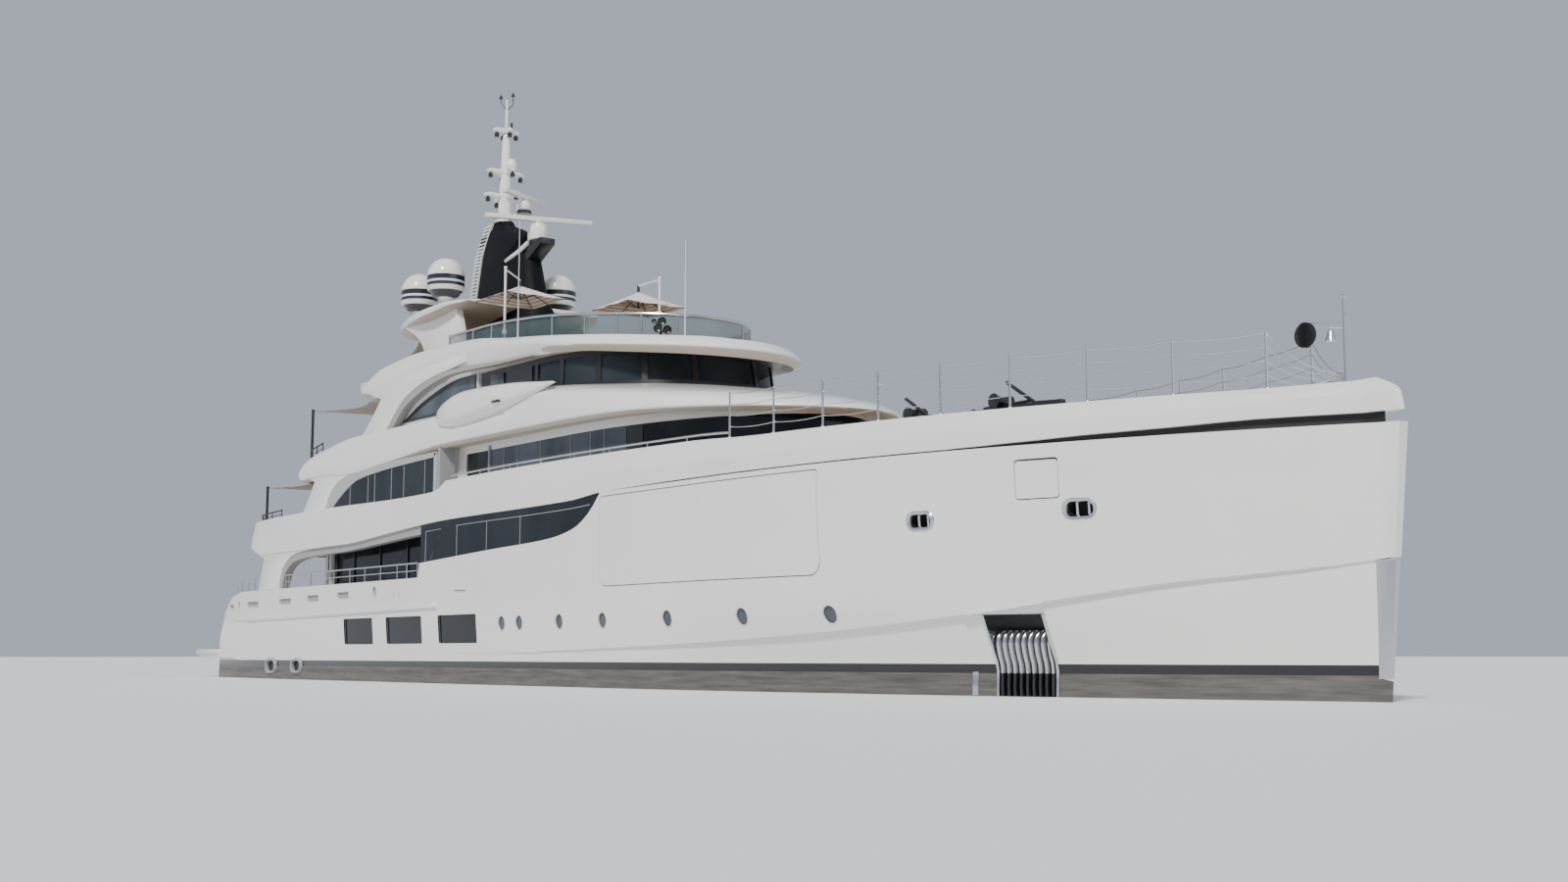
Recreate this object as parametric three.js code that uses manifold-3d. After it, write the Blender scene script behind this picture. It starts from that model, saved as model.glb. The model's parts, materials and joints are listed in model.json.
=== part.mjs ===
// A 63 m motor yacht afloat, as a 1:2 scale model.
// X points forward, Y to port and Z up. The origin is on the waterline, amidships, on the centreline.
// Sizes below are the real yacht's, in metres. The last lines turn them into the model's millimetres.
import * as THREE from "three";
import { mergeVertices } from "three/addons/utils/BufferGeometryUtils.js";
import Module from "manifold-3d";

const wasm = await Module();
wasm.setup();

// Driving dimensions, in metres of the real yacht
const MODEL_MM_PER_METRE = 500; // 1:2
const GAP = 0.0006; // between pieces that touch, 0.3 mm on the model
const CLEAR = 0.012; // around a moving piece, 6 mm on the model
const HALF_BEAM = 5.1;
const DRAUGHT = 3.1;
const STEM_X = 31.1; // the stem where it meets the waterline
const STEM_RAKE = 0.094; // forward for each metre up
const BOOT_TOP_Z = 0.8;
const HULL_TOP_Z = 6.1;
const MAIN_FLOOR_Z = 3.15;
const UPPER_FLOOR_Z = 6.3;
const BRIDGE_FLOOR_Z = 8.95;
const SUN_FLOOR_Z = 11.55;
const BULWARK_THICK = 0.16;

// Finishes
const finish = (color, roughness, metalness = 0) =>
  new THREE.MeshStandardMaterial({ color, roughness, metalness });
const WHITE = finish(0xf1efec, 0.18);
const GLASS = finish(0x10161d, 0.06);
const CLEAR_GLASS = finish(0x4d6268, 0.05);
const BLACK = finish(0x0c0d0f, 0.25);
const STEEL = finish(0xb9bcc0, 0.22, 1);
const BRONZE = finish(0x9a7440, 0.35, 1);
const ANTIFOULING = finish(0x2b2724, 0.6);
const CANVAS = finish(0xb9a489, 0.9);

// Solids and booleans
function solid(geometry) {
  const bare = geometry.clone();
  bare.deleteAttribute("normal");
  bare.deleteAttribute("uv");
  const merged = mergeVertices(bare, 1e-5);
  const made = new wasm.Manifold(
    new wasm.Mesh({
      numProp: 3,
      vertProperties: new Float32Array(merged.attributes.position.array),
      triVerts: new Uint32Array(merged.index.array),
    }),
  );
  return made;
}

function geometryOf(made) {
  const mesh = made.getMesh();
  const points = new Float32Array(mesh.numVert * 3);
  for (let i = 0; i < mesh.numVert; i++) {
    const start = i * mesh.numProp;
    points.set(mesh.vertProperties.subarray(start, start + 3), i * 3);
  }
  const geometry = new THREE.BufferGeometry();
  geometry.setAttribute("position", new THREE.BufferAttribute(points, 3));
  geometry.setIndex(new THREE.BufferAttribute(mesh.triVerts, 1));
  return geometry;
}

const join = (...parts) => parts.reduce((all, part) => all.add(part));
const cut = (body, ...tools) => tools.reduce((left, tool) => left.subtract(tool), body);

function moved(made, x, y, z) {
  return solid(geometryOf(made).translate(x, y, z));
}

// The same solid on the other side of the centreline
function mirrored(made) {
  const geometry = geometryOf(made).scale(1, -1, 1);
  const order = geometry.index.array;
  for (let i = 0; i < order.length; i += 3) {
    [order[i + 1], order[i + 2]] = [order[i + 2], order[i + 1]];
  }
  return solid(geometry);
}

const bothSides = (made) => made.add(mirrored(made));

// What stands on a deck or hangs under one, cut to leave the gap to it
const standingOn = (made, deck) => cut(made, moved(deck, 0, 0, GAP));
const hungUnder = (made, deck) => cut(made, moved(deck, 0, 0, -GAP));

// A closed solid through rings of equally many [x, y, z] points. `flat` is the pair of axes that each end
// is flattened to when it is closed.
function loft(rings, flat = [0, 1]) {
  const count = rings[0].length;
  const points = rings.flat();
  const faces = [];
  for (let r = 0; r + 1 < rings.length; r++) {
    for (let i = 0; i < count; i++) {
      const j = (i + 1) % count;
      const [a, b, c, d] = [r * count + i, r * count + j, (r + 1) * count + j, (r + 1) * count + i];
      faces.push([a, b, c], [a, c, d]);
    }
  }
  const capFaces = (ring) => {
    const outline = ring.map((p) => new THREE.Vector2(p[flat[0]], p[flat[1]]));
    const clockwise = THREE.ShapeUtils.isClockWise(outline);
    const order = outline.map((_, i) => i);
    if (clockwise) {
      outline.reverse();
      order.reverse();
    }
    const triangles = THREE.ShapeUtils.triangulateShape(outline, []).map((t) => t.map((k) => order[k]));
    return { clockwise, triangles };
  };
  const last = (rings.length - 1) * count;
  const start = capFaces(rings[0]);
  const end = capFaces(rings[rings.length - 1]);
  for (const [a, b, c] of start.triangles) {
    faces.push(start.clockwise ? [a, b, c] : [c, b, a]);
  }
  for (const [a, b, c] of end.triangles) {
    faces.push(end.clockwise ? [last + c, last + b, last + a] : [last + a, last + b, last + c]);
  }
  let volume = 0;
  for (const [a, b, c] of faces) {
    const [p, q, s] = [points[a], points[b], points[c]];
    volume +=
      p[0] * (q[1] * s[2] - q[2] * s[1]) -
      p[1] * (q[0] * s[2] - q[2] * s[0]) +
      p[2] * (q[0] * s[1] - q[1] * s[0]);
  }
  const outward = volume > 0 ? faces : faces.map(([a, b, c]) => [a, c, b]);
  const geometry = new THREE.BufferGeometry();
  geometry.setAttribute("position", new THREE.Float32BufferAttribute(points.flat(), 3));
  geometry.setIndex(outward.flat());
  return solid(geometry);
}

// A side-view outline of [x, z] points, made solid from y = from to y = to
function sidePlate(outline, from, to) {
  return loft(
    [from, to].map((y) => outline.map(([x, z]) => [x, y, z])),
    [0, 2],
  );
}

// The same outline with every edge moved inwards
function shrunk(outline, by) {
  const points = outline.map(([x, z]) => new THREE.Vector2(x, z));
  const turn = THREE.ShapeUtils.isClockWise(points) ? -1 : 1;
  return points.map((here, i) => {
    const before = points[(i + points.length - 1) % points.length];
    const after = points[(i + 1) % points.length];
    const [u, v] = [here.clone().sub(before).normalize(), after.clone().sub(here).normalize()];
    const normal = new THREE.Vector2(-u.y - v.y, u.x + v.x).multiplyScalar(turn / (1 + u.dot(v)));
    return [here.x + normal.x * by, here.y + normal.y * by];
  });
}

// A plan outline of [x, y] points, made solid between two heights
function deckPlate(outline, from, to) {
  return loft([from, to].map((z) => outline.map(([x, y]) => [x, y, z])));
}

function block(x0, x1, y0, y1, z0, z1) {
  const box = new THREE.BoxGeometry(x1 - x0, y1 - y0, z1 - z0);
  return solid(box.translate((x0 + x1) / 2, (y0 + y1) / 2, (z0 + z1) / 2));
}

// A straight round bar between two points
function bar(from, to, radius, sides = 6, endRadius = radius) {
  const [a, b] = [new THREE.Vector3(...from), new THREE.Vector3(...to)];
  const along = b.clone().sub(a);
  const geometry = new THREE.CylinderGeometry(endRadius, radius, along.length(), sides);
  geometry.applyQuaternion(
    new THREE.Quaternion().setFromUnitVectors(new THREE.Vector3(0, 1, 0), along.clone().normalize()),
  );
  return solid(geometry.translate(...a.add(b).multiplyScalar(0.5).toArray()));
}

// One bar that bends at each point, for runs that stay near level
function run(points, radius) {
  return loft(points.map(([x, y, z], i) => {
    const before = points[Math.max(i - 1, 0)];
    const after = points[Math.min(i + 1, points.length - 1)];
    const along = new THREE.Vector2(after[0] - before[0], after[1] - before[1]).normalize();
    const [dx, dy] = [-along.y * radius, along.x * radius];
    return [[x + dx, y + dy, z], [x, y, z + radius], [x - dx, y - dy, z], [x, y, z - radius]];
  }), [1, 2]);
}

// A body turned round an upright axis, from [radius, z] points
const turned = (profile, segments, x = 0, y = 0) =>
  solid(
    new THREE.LatheGeometry(profile.map(([r, z]) => new THREE.Vector2(r, z)), segments)
      .rotateX(Math.PI / 2)
      .translate(x, y, 0),
  );

// Straight-line value between the rows [at, value] of a table that rises in `at`
function between(rows, at) {
  if (at <= rows[0][0]) return rows[0][1];
  for (let i = 0; i + 1 < rows.length; i++) {
    const [[a, p], [b, q]] = [rows[i], rows[i + 1]];
    if (at <= b) return p + ((q - p) * (at - a)) / (b - a);
  }
  return rows[rows.length - 1][1];
}

// Meshes
const yacht = new THREE.Group();
function piece(name, made, material) {
  const mesh = new THREE.Mesh(geometryOf(made), material);
  mesh.name = name;
  yacht.add(mesh);
  return mesh;
}
const SIDES = [
  { side: "starboard", as: (made) => made },
  { side: "port", as: mirrored },
];
function pair(name, made, material, fit = (part) => part) {
  for (const { side, as } of SIDES) {
    piece(name + "_" + side, fit(as(made)), material);
  }
}

// Hull form: half-breadth at a place along and a height
const stemX = (z) => STEM_X + STEM_RAKE * Math.max(z, -1.2);
const bluntEnd = (x, z) => 0.2 * Math.sqrt(Math.max(stemX(z) - x, 0) + 0.02);
const quarter = (x) => (x < -20 ? 0.42 * ((-20 - x) / 8.2) ** 2 : 0);
const topHalf = (x) => HALF_BEAM * (x > 12 ? 1 - ((x - 12) / 19.1) ** 2.2 : 1);
const portHalf = (x) => HALF_BEAM * (x > 9.5 ? 1 - ((x - 9.5) / 21.6) ** 2 : 1);
const waterHalf = (x) => 4.97 * (x > 6 ? 1 - Math.min((x - 6) / 25, 1) ** 1.9 : 1);
const KNUCKLE = [
  [-28, 1.02], [0, 1.05], [3.2, 1.13], [10.5, 1.32], [16.4, 1.59], [21.8, 2.05], [23.5, 2.27], [26.9, 2.7],
  [28.9, 2.87], [31.4, 3.14],
]; // x, height of the knuckle
const KNUCKLE_STEP = [[-2, 0.004], [10, 0.09], [24, 0.14], [29, 0.1], [31.2, 0.03]]; // x, step
const KEEL = [
  [-28.2, -0.55], [-20, -1.35], [-8, -2.9], [0, -DRAUGHT], [24, -DRAUGHT], [28.5, -2.75], [31, -1.9],
]; // x, z
const HULL_XS = [
  -28.2, -24, -19, -13, -6, 0, 5, 9.5, 13, 16, 18.5, 21, 23, 25, 26.8, 28.3, 29.6, 30.5, 31.1,
]; // stations

function halfBreadth(x, z) {
  const flare = between([[BOOT_TOP_Z, waterHalf(x)], [2.1, portHalf(x)], [HULL_TOP_Z, topHalf(x)]], z);
  const under = z < between(KNUCKLE, x) ? between(KNUCKLE_STEP, x) : 0;
  return Math.max(flare - under - quarter(x), bluntEnd(x, z) - under, 0.02);
}

// One side of a station, from the keel up
function stationSide(x) {
  const keel = between(KEEL, x);
  const knuckle = between(KNUCKLE, x);
  const full = x < 4 ? 1 : Math.max(1 - ((x - 4) / 27) ** 1.6, 0.02);
  const bilge = [[0, 0.03], [0.06, 0.42], [0.22, 0.74], [0.55, 0.93]]; // shares of the depth and the width
  const rows = bilge.map(([up, out]) => {
    const share = out ** (1 + 1.6 * (1 - full));
    return [Math.max(halfBreadth(x, 0) * share, 0.03), keel * (1 - up)];
  });
  rows.push([halfBreadth(x, 0), 0]);
  for (const z of [BOOT_TOP_Z, knuckle - 0.03, knuckle + 0.03, 3.6, 4.9, HULL_TOP_Z]) {
    rows.push([halfBreadth(x, z), z]);
  }
  return rows;
}

function hullBody() {
  const rings = HULL_XS.map((x) => {
    const side = stationSide(x);
    const reach = (z) => x + (stemX(z) - STEM_X) * Math.max(0, (x - 24) / 7.1);
    const starboard = side.map(([half, z]) => [reach(z), -half, z]);
    const port = side.map(([half, z]) => [reach(z), half, z]).reverse();
    return [...starboard, ...port];
  });
  return loft(rings, [1, 2]);
}

// What the hull's side stops at: the raked transom, the aft bulwark, and the foot of the deckhouse glass
const SHEER = [
  [-31, 0.8], [-28.05, 0.8], [-27.9, 1.6], [-27.3, 2.3], [-26.5, 3.2], [-25.35, 3.7], [-24, 3.83],
  [-6.2, 3.85], [-6.1, 4.38], [-0.7, 4.62], [3.3, 4.78], [4.9, 5.02], [5.9, 5.5], [6.45, 6.03], [6.6, 6.3],
  [6.6, 7], [-31, 7],
]; // x, z of the outline that is cut away
const BAY = { aft: 6.9, fore: 16.7, floor: 3.35, roof: 5.75 }; // tender bay, right across the hull
const BAY_DOOR = { aft: 6.55, fore: 17.1, foot: 3.15, head: 5.93, thick: 0.14, steps: 7 };
const LAZARETTE = { aft: -27.9, fore: -24.2, half: 2.5, floor: 1.36, roof: 3.0 }; // room behind the transom
const ANCHOR_POCKET = {
  aft: 21.75, fore: 23.45, steps: 3, heights: [-0.75, 0, 0.8, 1.5, 1.9, 2.02], depth: 0.55,
};
const BOW_HATCH = { aft: 23.2, fore: 24.3, foot: 4.78, head: 5.72, depth: 0.5, thick: 0.1, lean: 0.04 };
const TRANSOM_DOOR = { half: 2.6, foot: 1.36, head: 3.12, thick: 0.14, relief: 0.07 };
const STAIRS = { y: 3.6, half: 0.55 }; // a flight at each quarter, from the swim platform to the main deck
const transomFace = (z) => between([[1.25, -28.05], [1.6, -27.9], [2.3, -27.3], [3.2, -26.5]], z);

// A slab that follows the hull's side at starboard, from `inner` to `outer` inside the skin. Its fore edge
// leans aft by `lean` on the inside, so that it can swing out square to the skin.
function skinSlab([x0, x1], heights, inner, outer, steps, lean = 0) {
  const rings = [];
  for (let i = 0; i <= steps; i++) {
    const x = x0 + ((x1 - x0) * i) / steps;
    const within = i === steps ? x - lean : x;
    rings.push([
      ...heights.map((z) => [x, -(halfBreadth(x, z) - outer), z]),
      ...heights.map((z) => [within, -(halfBreadth(within, z) - inner), z]).reverse(),
    ]);
  }
  return loft(rings, [1, 2]);
}

function hull() {
  const wellHalf = HALF_BEAM - BULWARK_THICK;
  const wellSide = [[-24.6, -4.9], [-17.6, -wellHalf], [6.3, -wellHalf]];
  const well = deckPlate([...wellSide, ...wellSide.map(([x, y]) => [x, -y]).reverse()], MAIN_FLOOR_Z, 7);
  const stairs = bothSides(sidePlate([[-28.6, 1.3], [-24.5, 3.16], [-24.5, 5], [-28.6, 5]],
    STAIRS.y - STAIRS.half, STAIRS.y + STAIRS.half));
  const doorRebate = skinSlab([BAY_DOOR.aft - CLEAR, BAY_DOOR.fore + CLEAR],
    [BAY_DOOR.foot - CLEAR, BAY_DOOR.head + CLEAR], BAY_DOOR.thick + CLEAR, -0.3, BAY_DOOR.steps);
  const bay = block(BAY.aft, BAY.fore, -5.2, 5.2, BAY.floor, BAY.roof);
  const room = block(LAZARETTE.aft - 1, LAZARETTE.fore, -LAZARETTE.half, LAZARETTE.half, LAZARETTE.floor,
    LAZARETTE.roof);
  const pocket = skinSlab([ANCHOR_POCKET.aft, ANCHOR_POCKET.fore], ANCHOR_POCKET.heights, ANCHOR_POCKET.depth,
    -0.4, ANCHOR_POCKET.steps);
  const hatch = skinSlab([BOW_HATCH.aft, BOW_HATCH.fore], [BOW_HATCH.foot, BOW_HATCH.head + CLEAR],
    BOW_HATCH.depth, -0.3, 1);
  const doorwayBack = [
    [TRANSOM_DOOR.foot - CLEAR, 0], [1.75, 0], [2.3, 0], [2.7, TRANSOM_DOOR.relief],
    [TRANSOM_DOOR.head + CLEAR, TRANSOM_DOOR.relief],
  ]; // height, extra depth where the door's head swings in
  const doorway = sidePlate([
    [-30, TRANSOM_DOOR.foot - CLEAR],
    ...doorwayBack.map(([z, extra]) => [transomFace(z) + TRANSOM_DOOR.thick + CLEAR + extra, z]),
    [-30, TRANSOM_DOOR.head + CLEAR],
  ], -TRANSOM_DOOR.half, TRANSOM_DOOR.half);
  return cut(
    hullBody(), sidePlate(SHEER, -6, 6), well, stairs, bothSides(doorRebate), bay, room,
    bothSides(pocket), bothSides(hatch), doorway,
  );
}

// The hull is built in blocks that meet face to face: the lower hull, the topsides round the tender bay,
// and a bulwark along each side of the main deck
const TOPSIDES = { aft: 6.29, foot: 3.0 };
const WHOLE_HULL = hull();
const lowerHull = cut(WHOLE_HULL, block(TOPSIDES.aft, 33, -6, 6, TOPSIDES.foot, 7),
  bothSides(block(-30, TOPSIDES.aft, STAIRS.y, 6, MAIN_FLOOR_Z, 7)));
const topsides = WHOLE_HULL.intersect(block(TOPSIDES.aft + GAP, 33, -6, 6, TOPSIDES.foot + GAP, 7));
const BULWARK = WHOLE_HULL.intersect(block(-30, TOPSIDES.aft, -6, -STAIRS.y, MAIN_FLOOR_Z + GAP, 7));

// Swim platform, wrapped round the quarters and bolted to the hull
const PLATFORM = { aft: -31.3, fore: -25.3, top: 1.24, foot: 0.86, half: 4.72, corner: 1.1 };
function swimPlatform() {
  const corner = [];
  for (let i = 0; i <= 6; i++) {
    const turn = (Math.PI / 2) * (i / 6);
    corner.push([PLATFORM.aft + PLATFORM.corner * (1 - Math.sin(turn)),
      -(PLATFORM.half - PLATFORM.corner * (1 - Math.cos(turn)))]);
  }
  const starboard = [[PLATFORM.fore, -4.9], [PLATFORM.fore, -5.06], [-28.4, -4.9], ...corner];
  const port = starboard.map(([x, y]) => [x, -y]).reverse();
  return deckPlate([...starboard, ...port], PLATFORM.foot, PLATFORM.top);
}

// Propeller shafts in their struts, and the bosses that the rudders turn in
const SHAFT = { x: -22.4, y: 2.35, z: -2.1, entry: -13.5, radius: 0.13 };
const PROP = { blades: 5, radius: 0.85, aft: 0.3, fore: 0.25 };
const RUDDER = { x: -24.3, y: 2.35, stub: -0.95, head: -1.05, foot: -2.75, aft: 0.95, fore: 0.45 };
function shaftLine() {
  const start = SHAFT.x + PROP.fore + CLEAR;
  const axis = bar([start, -SHAFT.y, SHAFT.z], [SHAFT.entry, -SHAFT.y, SHAFT.z], SHAFT.radius, 10);
  const barrel = bar([start + 0.05, -SHAFT.y, SHAFT.z], [SHAFT.x + 1.1, -SHAFT.y, SHAFT.z], 0.24, 10);
  const legs = [-0.75, 0.75].map((lean) =>
    bar([SHAFT.x + 0.7, -SHAFT.y, SHAFT.z], [SHAFT.x + 0.7, -SHAFT.y + lean, -0.6], 0.09, 6));
  const boss = bar([RUDDER.x, -RUDDER.y, RUDDER.stub + CLEAR / 2], [RUDDER.x, -RUDDER.y, -0.5], 0.14, 10);
  return join(axis, barrel, ...legs, boss);
}
const HULL = join(lowerHull, bothSides(shaftLine()));
const AROUND = [[1, 0, 0], [-1, 0, 0], [0, 1, 0], [0, -1, 0], [0, 0, 1], [0, 0, -1]];
const besideHull = (made) => cut(made, ...AROUND.map(([x, y, z]) => moved(HULL, x * GAP, y * GAP, z * GAP)));
piece("hull", HULL, WHITE);
piece("topsides", topsides, WHITE);
pair("bulwark", BULWARK, WHITE);
piece("swim_platform", besideHull(swimPlatform()), WHITE);

// Ribbed steel plates that guard the hull where the anchors are drawn up
// Ribs of the anchor plates; edge and crest are shares of their pitch
const ANCHOR_RIBS = { count: 9, valley: 0.36, edge: 0.28, crest: 0.72, head: 1.62 };
function anchorPlate() {
  const { aft, fore, steps, heights: [foot, low, middle, high], depth } = ANCHOR_POCKET;
  const rows = [[foot + 0.01, 0.12], [low, 0.4], [middle, 0.42], [high, 0.2], [ANCHOR_RIBS.head, 0.06]];
  const pitch = (fore - aft - 2 * CLEAR) / ANCHOR_RIBS.count;
  return loft(rows.map(([z, bulge]) => {
    const face = (x, out) => [x, -(halfBreadth(x, z) - ANCHOR_RIBS.valley + out), z];
    const front = [face(aft + CLEAR, 0)];
    for (let i = 0; i < ANCHOR_RIBS.count; i++) {
      const start = aft + CLEAR + pitch * i;
      const crest = [ANCHOR_RIBS.edge, ANCHOR_RIBS.crest].map((share) => face(start + pitch * share, bulge));
      front.push(...crest, face(start + pitch, 0));
    }
    const back = [...Array(steps + 1).keys()].map((i) => {
      const x = aft + ((fore - aft) * i) / steps;
      return [Math.min(Math.max(x, aft + CLEAR), fore - CLEAR), -(halfBreadth(x, z) - depth + 0.01), z];
    });
    return [...front, ...back.reverse()];
  }));
}
pair("anchor_plate", anchorPlate(), STEEL);

// Shell doors, each modelled shut
function bayDoor() {
  const { aft, fore, foot, head, thick, steps } = BAY_DOOR;
  return skinSlab([aft, fore], [foot, head], thick, 0, steps);
}
pair("garage_door", bayDoor(), WHITE);

function bowHatch() {
  const { aft, fore, foot, head, thick, lean } = BOW_HATCH;
  return skinSlab([aft + CLEAR, fore - CLEAR], [foot + CLEAR, head - CLEAR], thick, 0, 1, lean);
}
pair("bow_hatch", bowHatch(), WHITE);

function transomDoor() {
  const heights = [TRANSOM_DOOR.foot, 1.75, 2.3, TRANSOM_DOOR.head];
  const outer = heights.map((z) => [transomFace(z) - GAP * 2, z]);
  const inner = heights.map((z) => [transomFace(z) + TRANSOM_DOOR.thick, z]).reverse();
  return sidePlate([...outer, ...inner], -TRANSOM_DOOR.half + CLEAR, TRANSOM_DOOR.half - CLEAR);
}

piece("transom_door", transomDoor(), WHITE);

// Plan outlines of the decks: an aft end with round corners, straight sides, and a round or pointed front
const roundFront = (half, front, tip) => (x) =>
  x <= front ? half : half * Math.sqrt(Math.max(1 - ((x - front) / (tip - front)) ** 2, 0));
function planRing({ aft, corner, mids, front, tip, steps = 8, half, inset = 0 }, z) {
  const xs = [...[0, 0.13, 0.5, 1].map((share) => aft + corner * share), ...mids, front];
  for (let i = 1; i <= steps; i++) {
    xs.push(front + (tip - front) * Math.sin((Math.PI / 2) * (i / steps)));
  }
  const insetAt = (x) => (Array.isArray(inset) ? between(inset, x) : inset);
  const side = xs.map((x) => {
    const into = Math.max(aft + corner - x, 0);
    const rounding = corner - Math.sqrt(Math.max(corner ** 2 - into ** 2, 0));
    const height = Array.isArray(z) ? between(z, x) : z;
    return [x, Math.max(half(x) - insetAt(x) - rounding, 0.03), height];
  });
  return [...side.map(([x, y, up]) => [x, -y, up]), ...side.reverse()];
}

// Upper deck: floor and bulwark, in an aft block with a leg down to the hull at each quarter, and a block
// round the house. Forward of the tender bay's aft end the section runs on as the foredeck, which caps the bow.
const bowHalf = (inset, tip) => (x) =>
  Math.max(topHalf(x) - inset - quarter(x) * 0.5, 0.2 * Math.sqrt(Math.max(tip - x, 0) + 0.02));
const UPPER_LOWER_EDGE = [
  [-23.1, 5.4], [-13.1, 5.42], [-8.6, 5.66], [-4.3, 5.86], [4.6, 5.95], [6.7, 6.1], [11.3, 6.14], [21, 6.14],
  [25, 6.24], [27, 6.29], [29, 6.36], [31.7, 6.37],
];
const UPPER_UPPER_EDGE = [
  [-23.9, 6.55], [-22.4, 6.9], [-14.7, 6.98], [-8.3, 6.92], [-5, 6.97], [-4.4, 7.29], [3.3, 7.36],
  [11.3, 7.28], [14.2, 7.16], [28, 7.08], [31.06, 7.15],
];
const UPPER_CEILING_Z = 5.97;
const UPPER_TUMBLEHOME = [[-5, 0.03], [14, 0.33]];
const raised = (rows, by) => rows.map(([x, z]) => [x, z + by]);

const UPPER_MIDS = [-18, -14.7, -13.1, -8.6, -5.02, -4.4, 0, 4.6, 6.7];
const upperPlan = (aft, tip, extra, inset = 0) => ({
  aft, corner: 1.2, mids: UPPER_MIDS, front: 8, tip, steps: 11, half: bowHalf(extra, tip), inset,
});
const UPPER_NECK = { inset: 0.16, from: 6.29 }; // from here forward a dark recess parts the hull from the cap
function deckMoulding() {
  const under = UPPER_LOWER_EDGE[0][1] - 0.2;
  const body = loft([
    planRing(upperPlan(-23.1, 31.7, 0), under),
    planRing(upperPlan(-23.1, 31.7, 0), UPPER_LOWER_EDGE),
    planRing(upperPlan(-24.3, 31.6, 0), raised(UPPER_LOWER_EDGE, 0.45)),
    planRing(upperPlan(-23.9, 31.06, 0, UPPER_TUMBLEHOME), UPPER_UPPER_EDGE),
    planRing(upperPlan(-23.65, 30.5, 0.22, UPPER_TUMBLEHOME), UPPER_UPPER_EDGE),
    planRing(upperPlan(-23.6, 30.4, 0.25, UPPER_TUMBLEHOME), UPPER_FLOOR_Z),
  ]);
  const underside = sidePlate([[-25, under - 0.1], [-25, UPPER_LOWER_EDGE[0][1]], ...UPPER_LOWER_EDGE,
    [33, UPPER_LOWER_EDGE.at(-1)[1]], [33, under - 0.1]], -6, 6);
  const inside = (z0, z1) => loft([z0, z1].map((z) => planRing(upperPlan(-22.7, 31.2, UPPER_NECK.inset), z)));
  const neck = cut(inside(under - 0.2, 7), block(-30, UPPER_NECK.from, -6, 6, 4, 8));
  const ceiling = cut(inside(under - 0.2, UPPER_CEILING_Z), block(UPPER_NECK.from, 33, -6, 6, 4, 8));
  const hullTop = block(UPPER_NECK.from, 33, -6, 6, 5, HULL_TOP_Z + GAP);
  return cut(body, cut(underside, neck), ceiling, hullTop);
}
const UPPER_LEG = [
  [-23, 5.6], [-21.7, 5.2], [-21.97, 4.67], [-22.3, 3.835], [-19.95, 3.835], [-19.86, 4.21], [-19.47, 4.79],
  [-18.53, 5.22], [-16.5, 5.4], [-13.5, 5.44], [-13.5, 5.8], [-23, 5.8],
]; // x, z

// Foredeck cranes, stowed with the boom along the deck: a boom that pivots between two cheeks on a post
const CRANE_PIVOT_Z = 7.32;
const CRANE = { post: 0.24, hub: 0.15, half: 0.17, cheek: 0.26, beam: 0.12 }; // radii and half-widths
const CRANES = [
  { name: "crane_boom_aft", x: 16.9, y: -1.9, length: 2.5 },
  { name: "crane_boom_fore", x: 20.15, y: -1.8, length: 3.1 },
];
function cranePedestal({ x, y, length }) {
  const top = CRANE_PIVOT_Z - CRANE.hub - 0.03;
  const cheek = block(x - 0.16, x + 0.16, y + CRANE.half + GAP * 2, y + CRANE.cheek, top - 0.1,
    CRANE_PIVOT_Z + 0.1);
  const crutchX = x + length - 0.45;
  return join(
    bar([x, y, UPPER_FLOOR_Z - 0.1], [x, y, top], CRANE.post, 10),
    block(x - 0.2, x + 0.2, y - CRANE.cheek, y + CRANE.cheek, top - 0.2, top),
    cheek, moved(cheek, 0, -CRANE.half - CRANE.cheek - GAP * 2, 0),
    bar([crutchX, y, UPPER_FLOOR_Z - 0.1], [crutchX, y, CRANE_PIVOT_Z - CRANE.beam - CLEAR], 0.07, 6),
  );
}
const MOULDING = deckMoulding();
const upperLegs = bothSides(sidePlate(UPPER_LEG, -5.06, -4.62));
const jackstaff = join(
  bar([30.25, 0, 6.28], [30.25, 0, 9.15], 0.035, 8),
  bar([30.25, 0, 8.3], [29.97, -0.12, 8.3], 0.02, 6),
  turned([[0, 8.1], [0.12, 8.1], [0.07, 8.3], [0.05, 8.38], [0, 8.4]], 10, 29.97, -0.12),
  bar([30.25, 0, 8.36], [29.2, 0, 8.36], 0.015, 4),
  solid(new THREE.CylinderGeometry(0.3, 0.3, 0.04, 16).translate(29.2, 0, 8.36)),
); // with the bell, and the anchor ball on a line
const UPPER_BLOCKS_X = -14.3; // where the upper deck's two blocks meet
const part = (x0, x1) => MOULDING.intersect(block(x0, x1, -6, 6, 4, 9));
const UPPER_DECK_AFT = join(part(-30, UPPER_BLOCKS_X), cut(upperLegs, block(UPPER_BLOCKS_X, 0, -6, 6, 4, 9)));
const UPPER_DECK = part(UPPER_BLOCKS_X + GAP, UPPER_NECK.from);
const FOREDECK = join(cut(MOULDING, block(-30, UPPER_NECK.from + GAP, -6, 6, 4, 9)), jackstaff,
  ...CRANES.map(cranePedestal));
piece("upper_deck", UPPER_DECK, WHITE);
piece("upper_deck_aft", UPPER_DECK_AFT, WHITE);
piece("foredeck", FOREDECK, WHITE);
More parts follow.
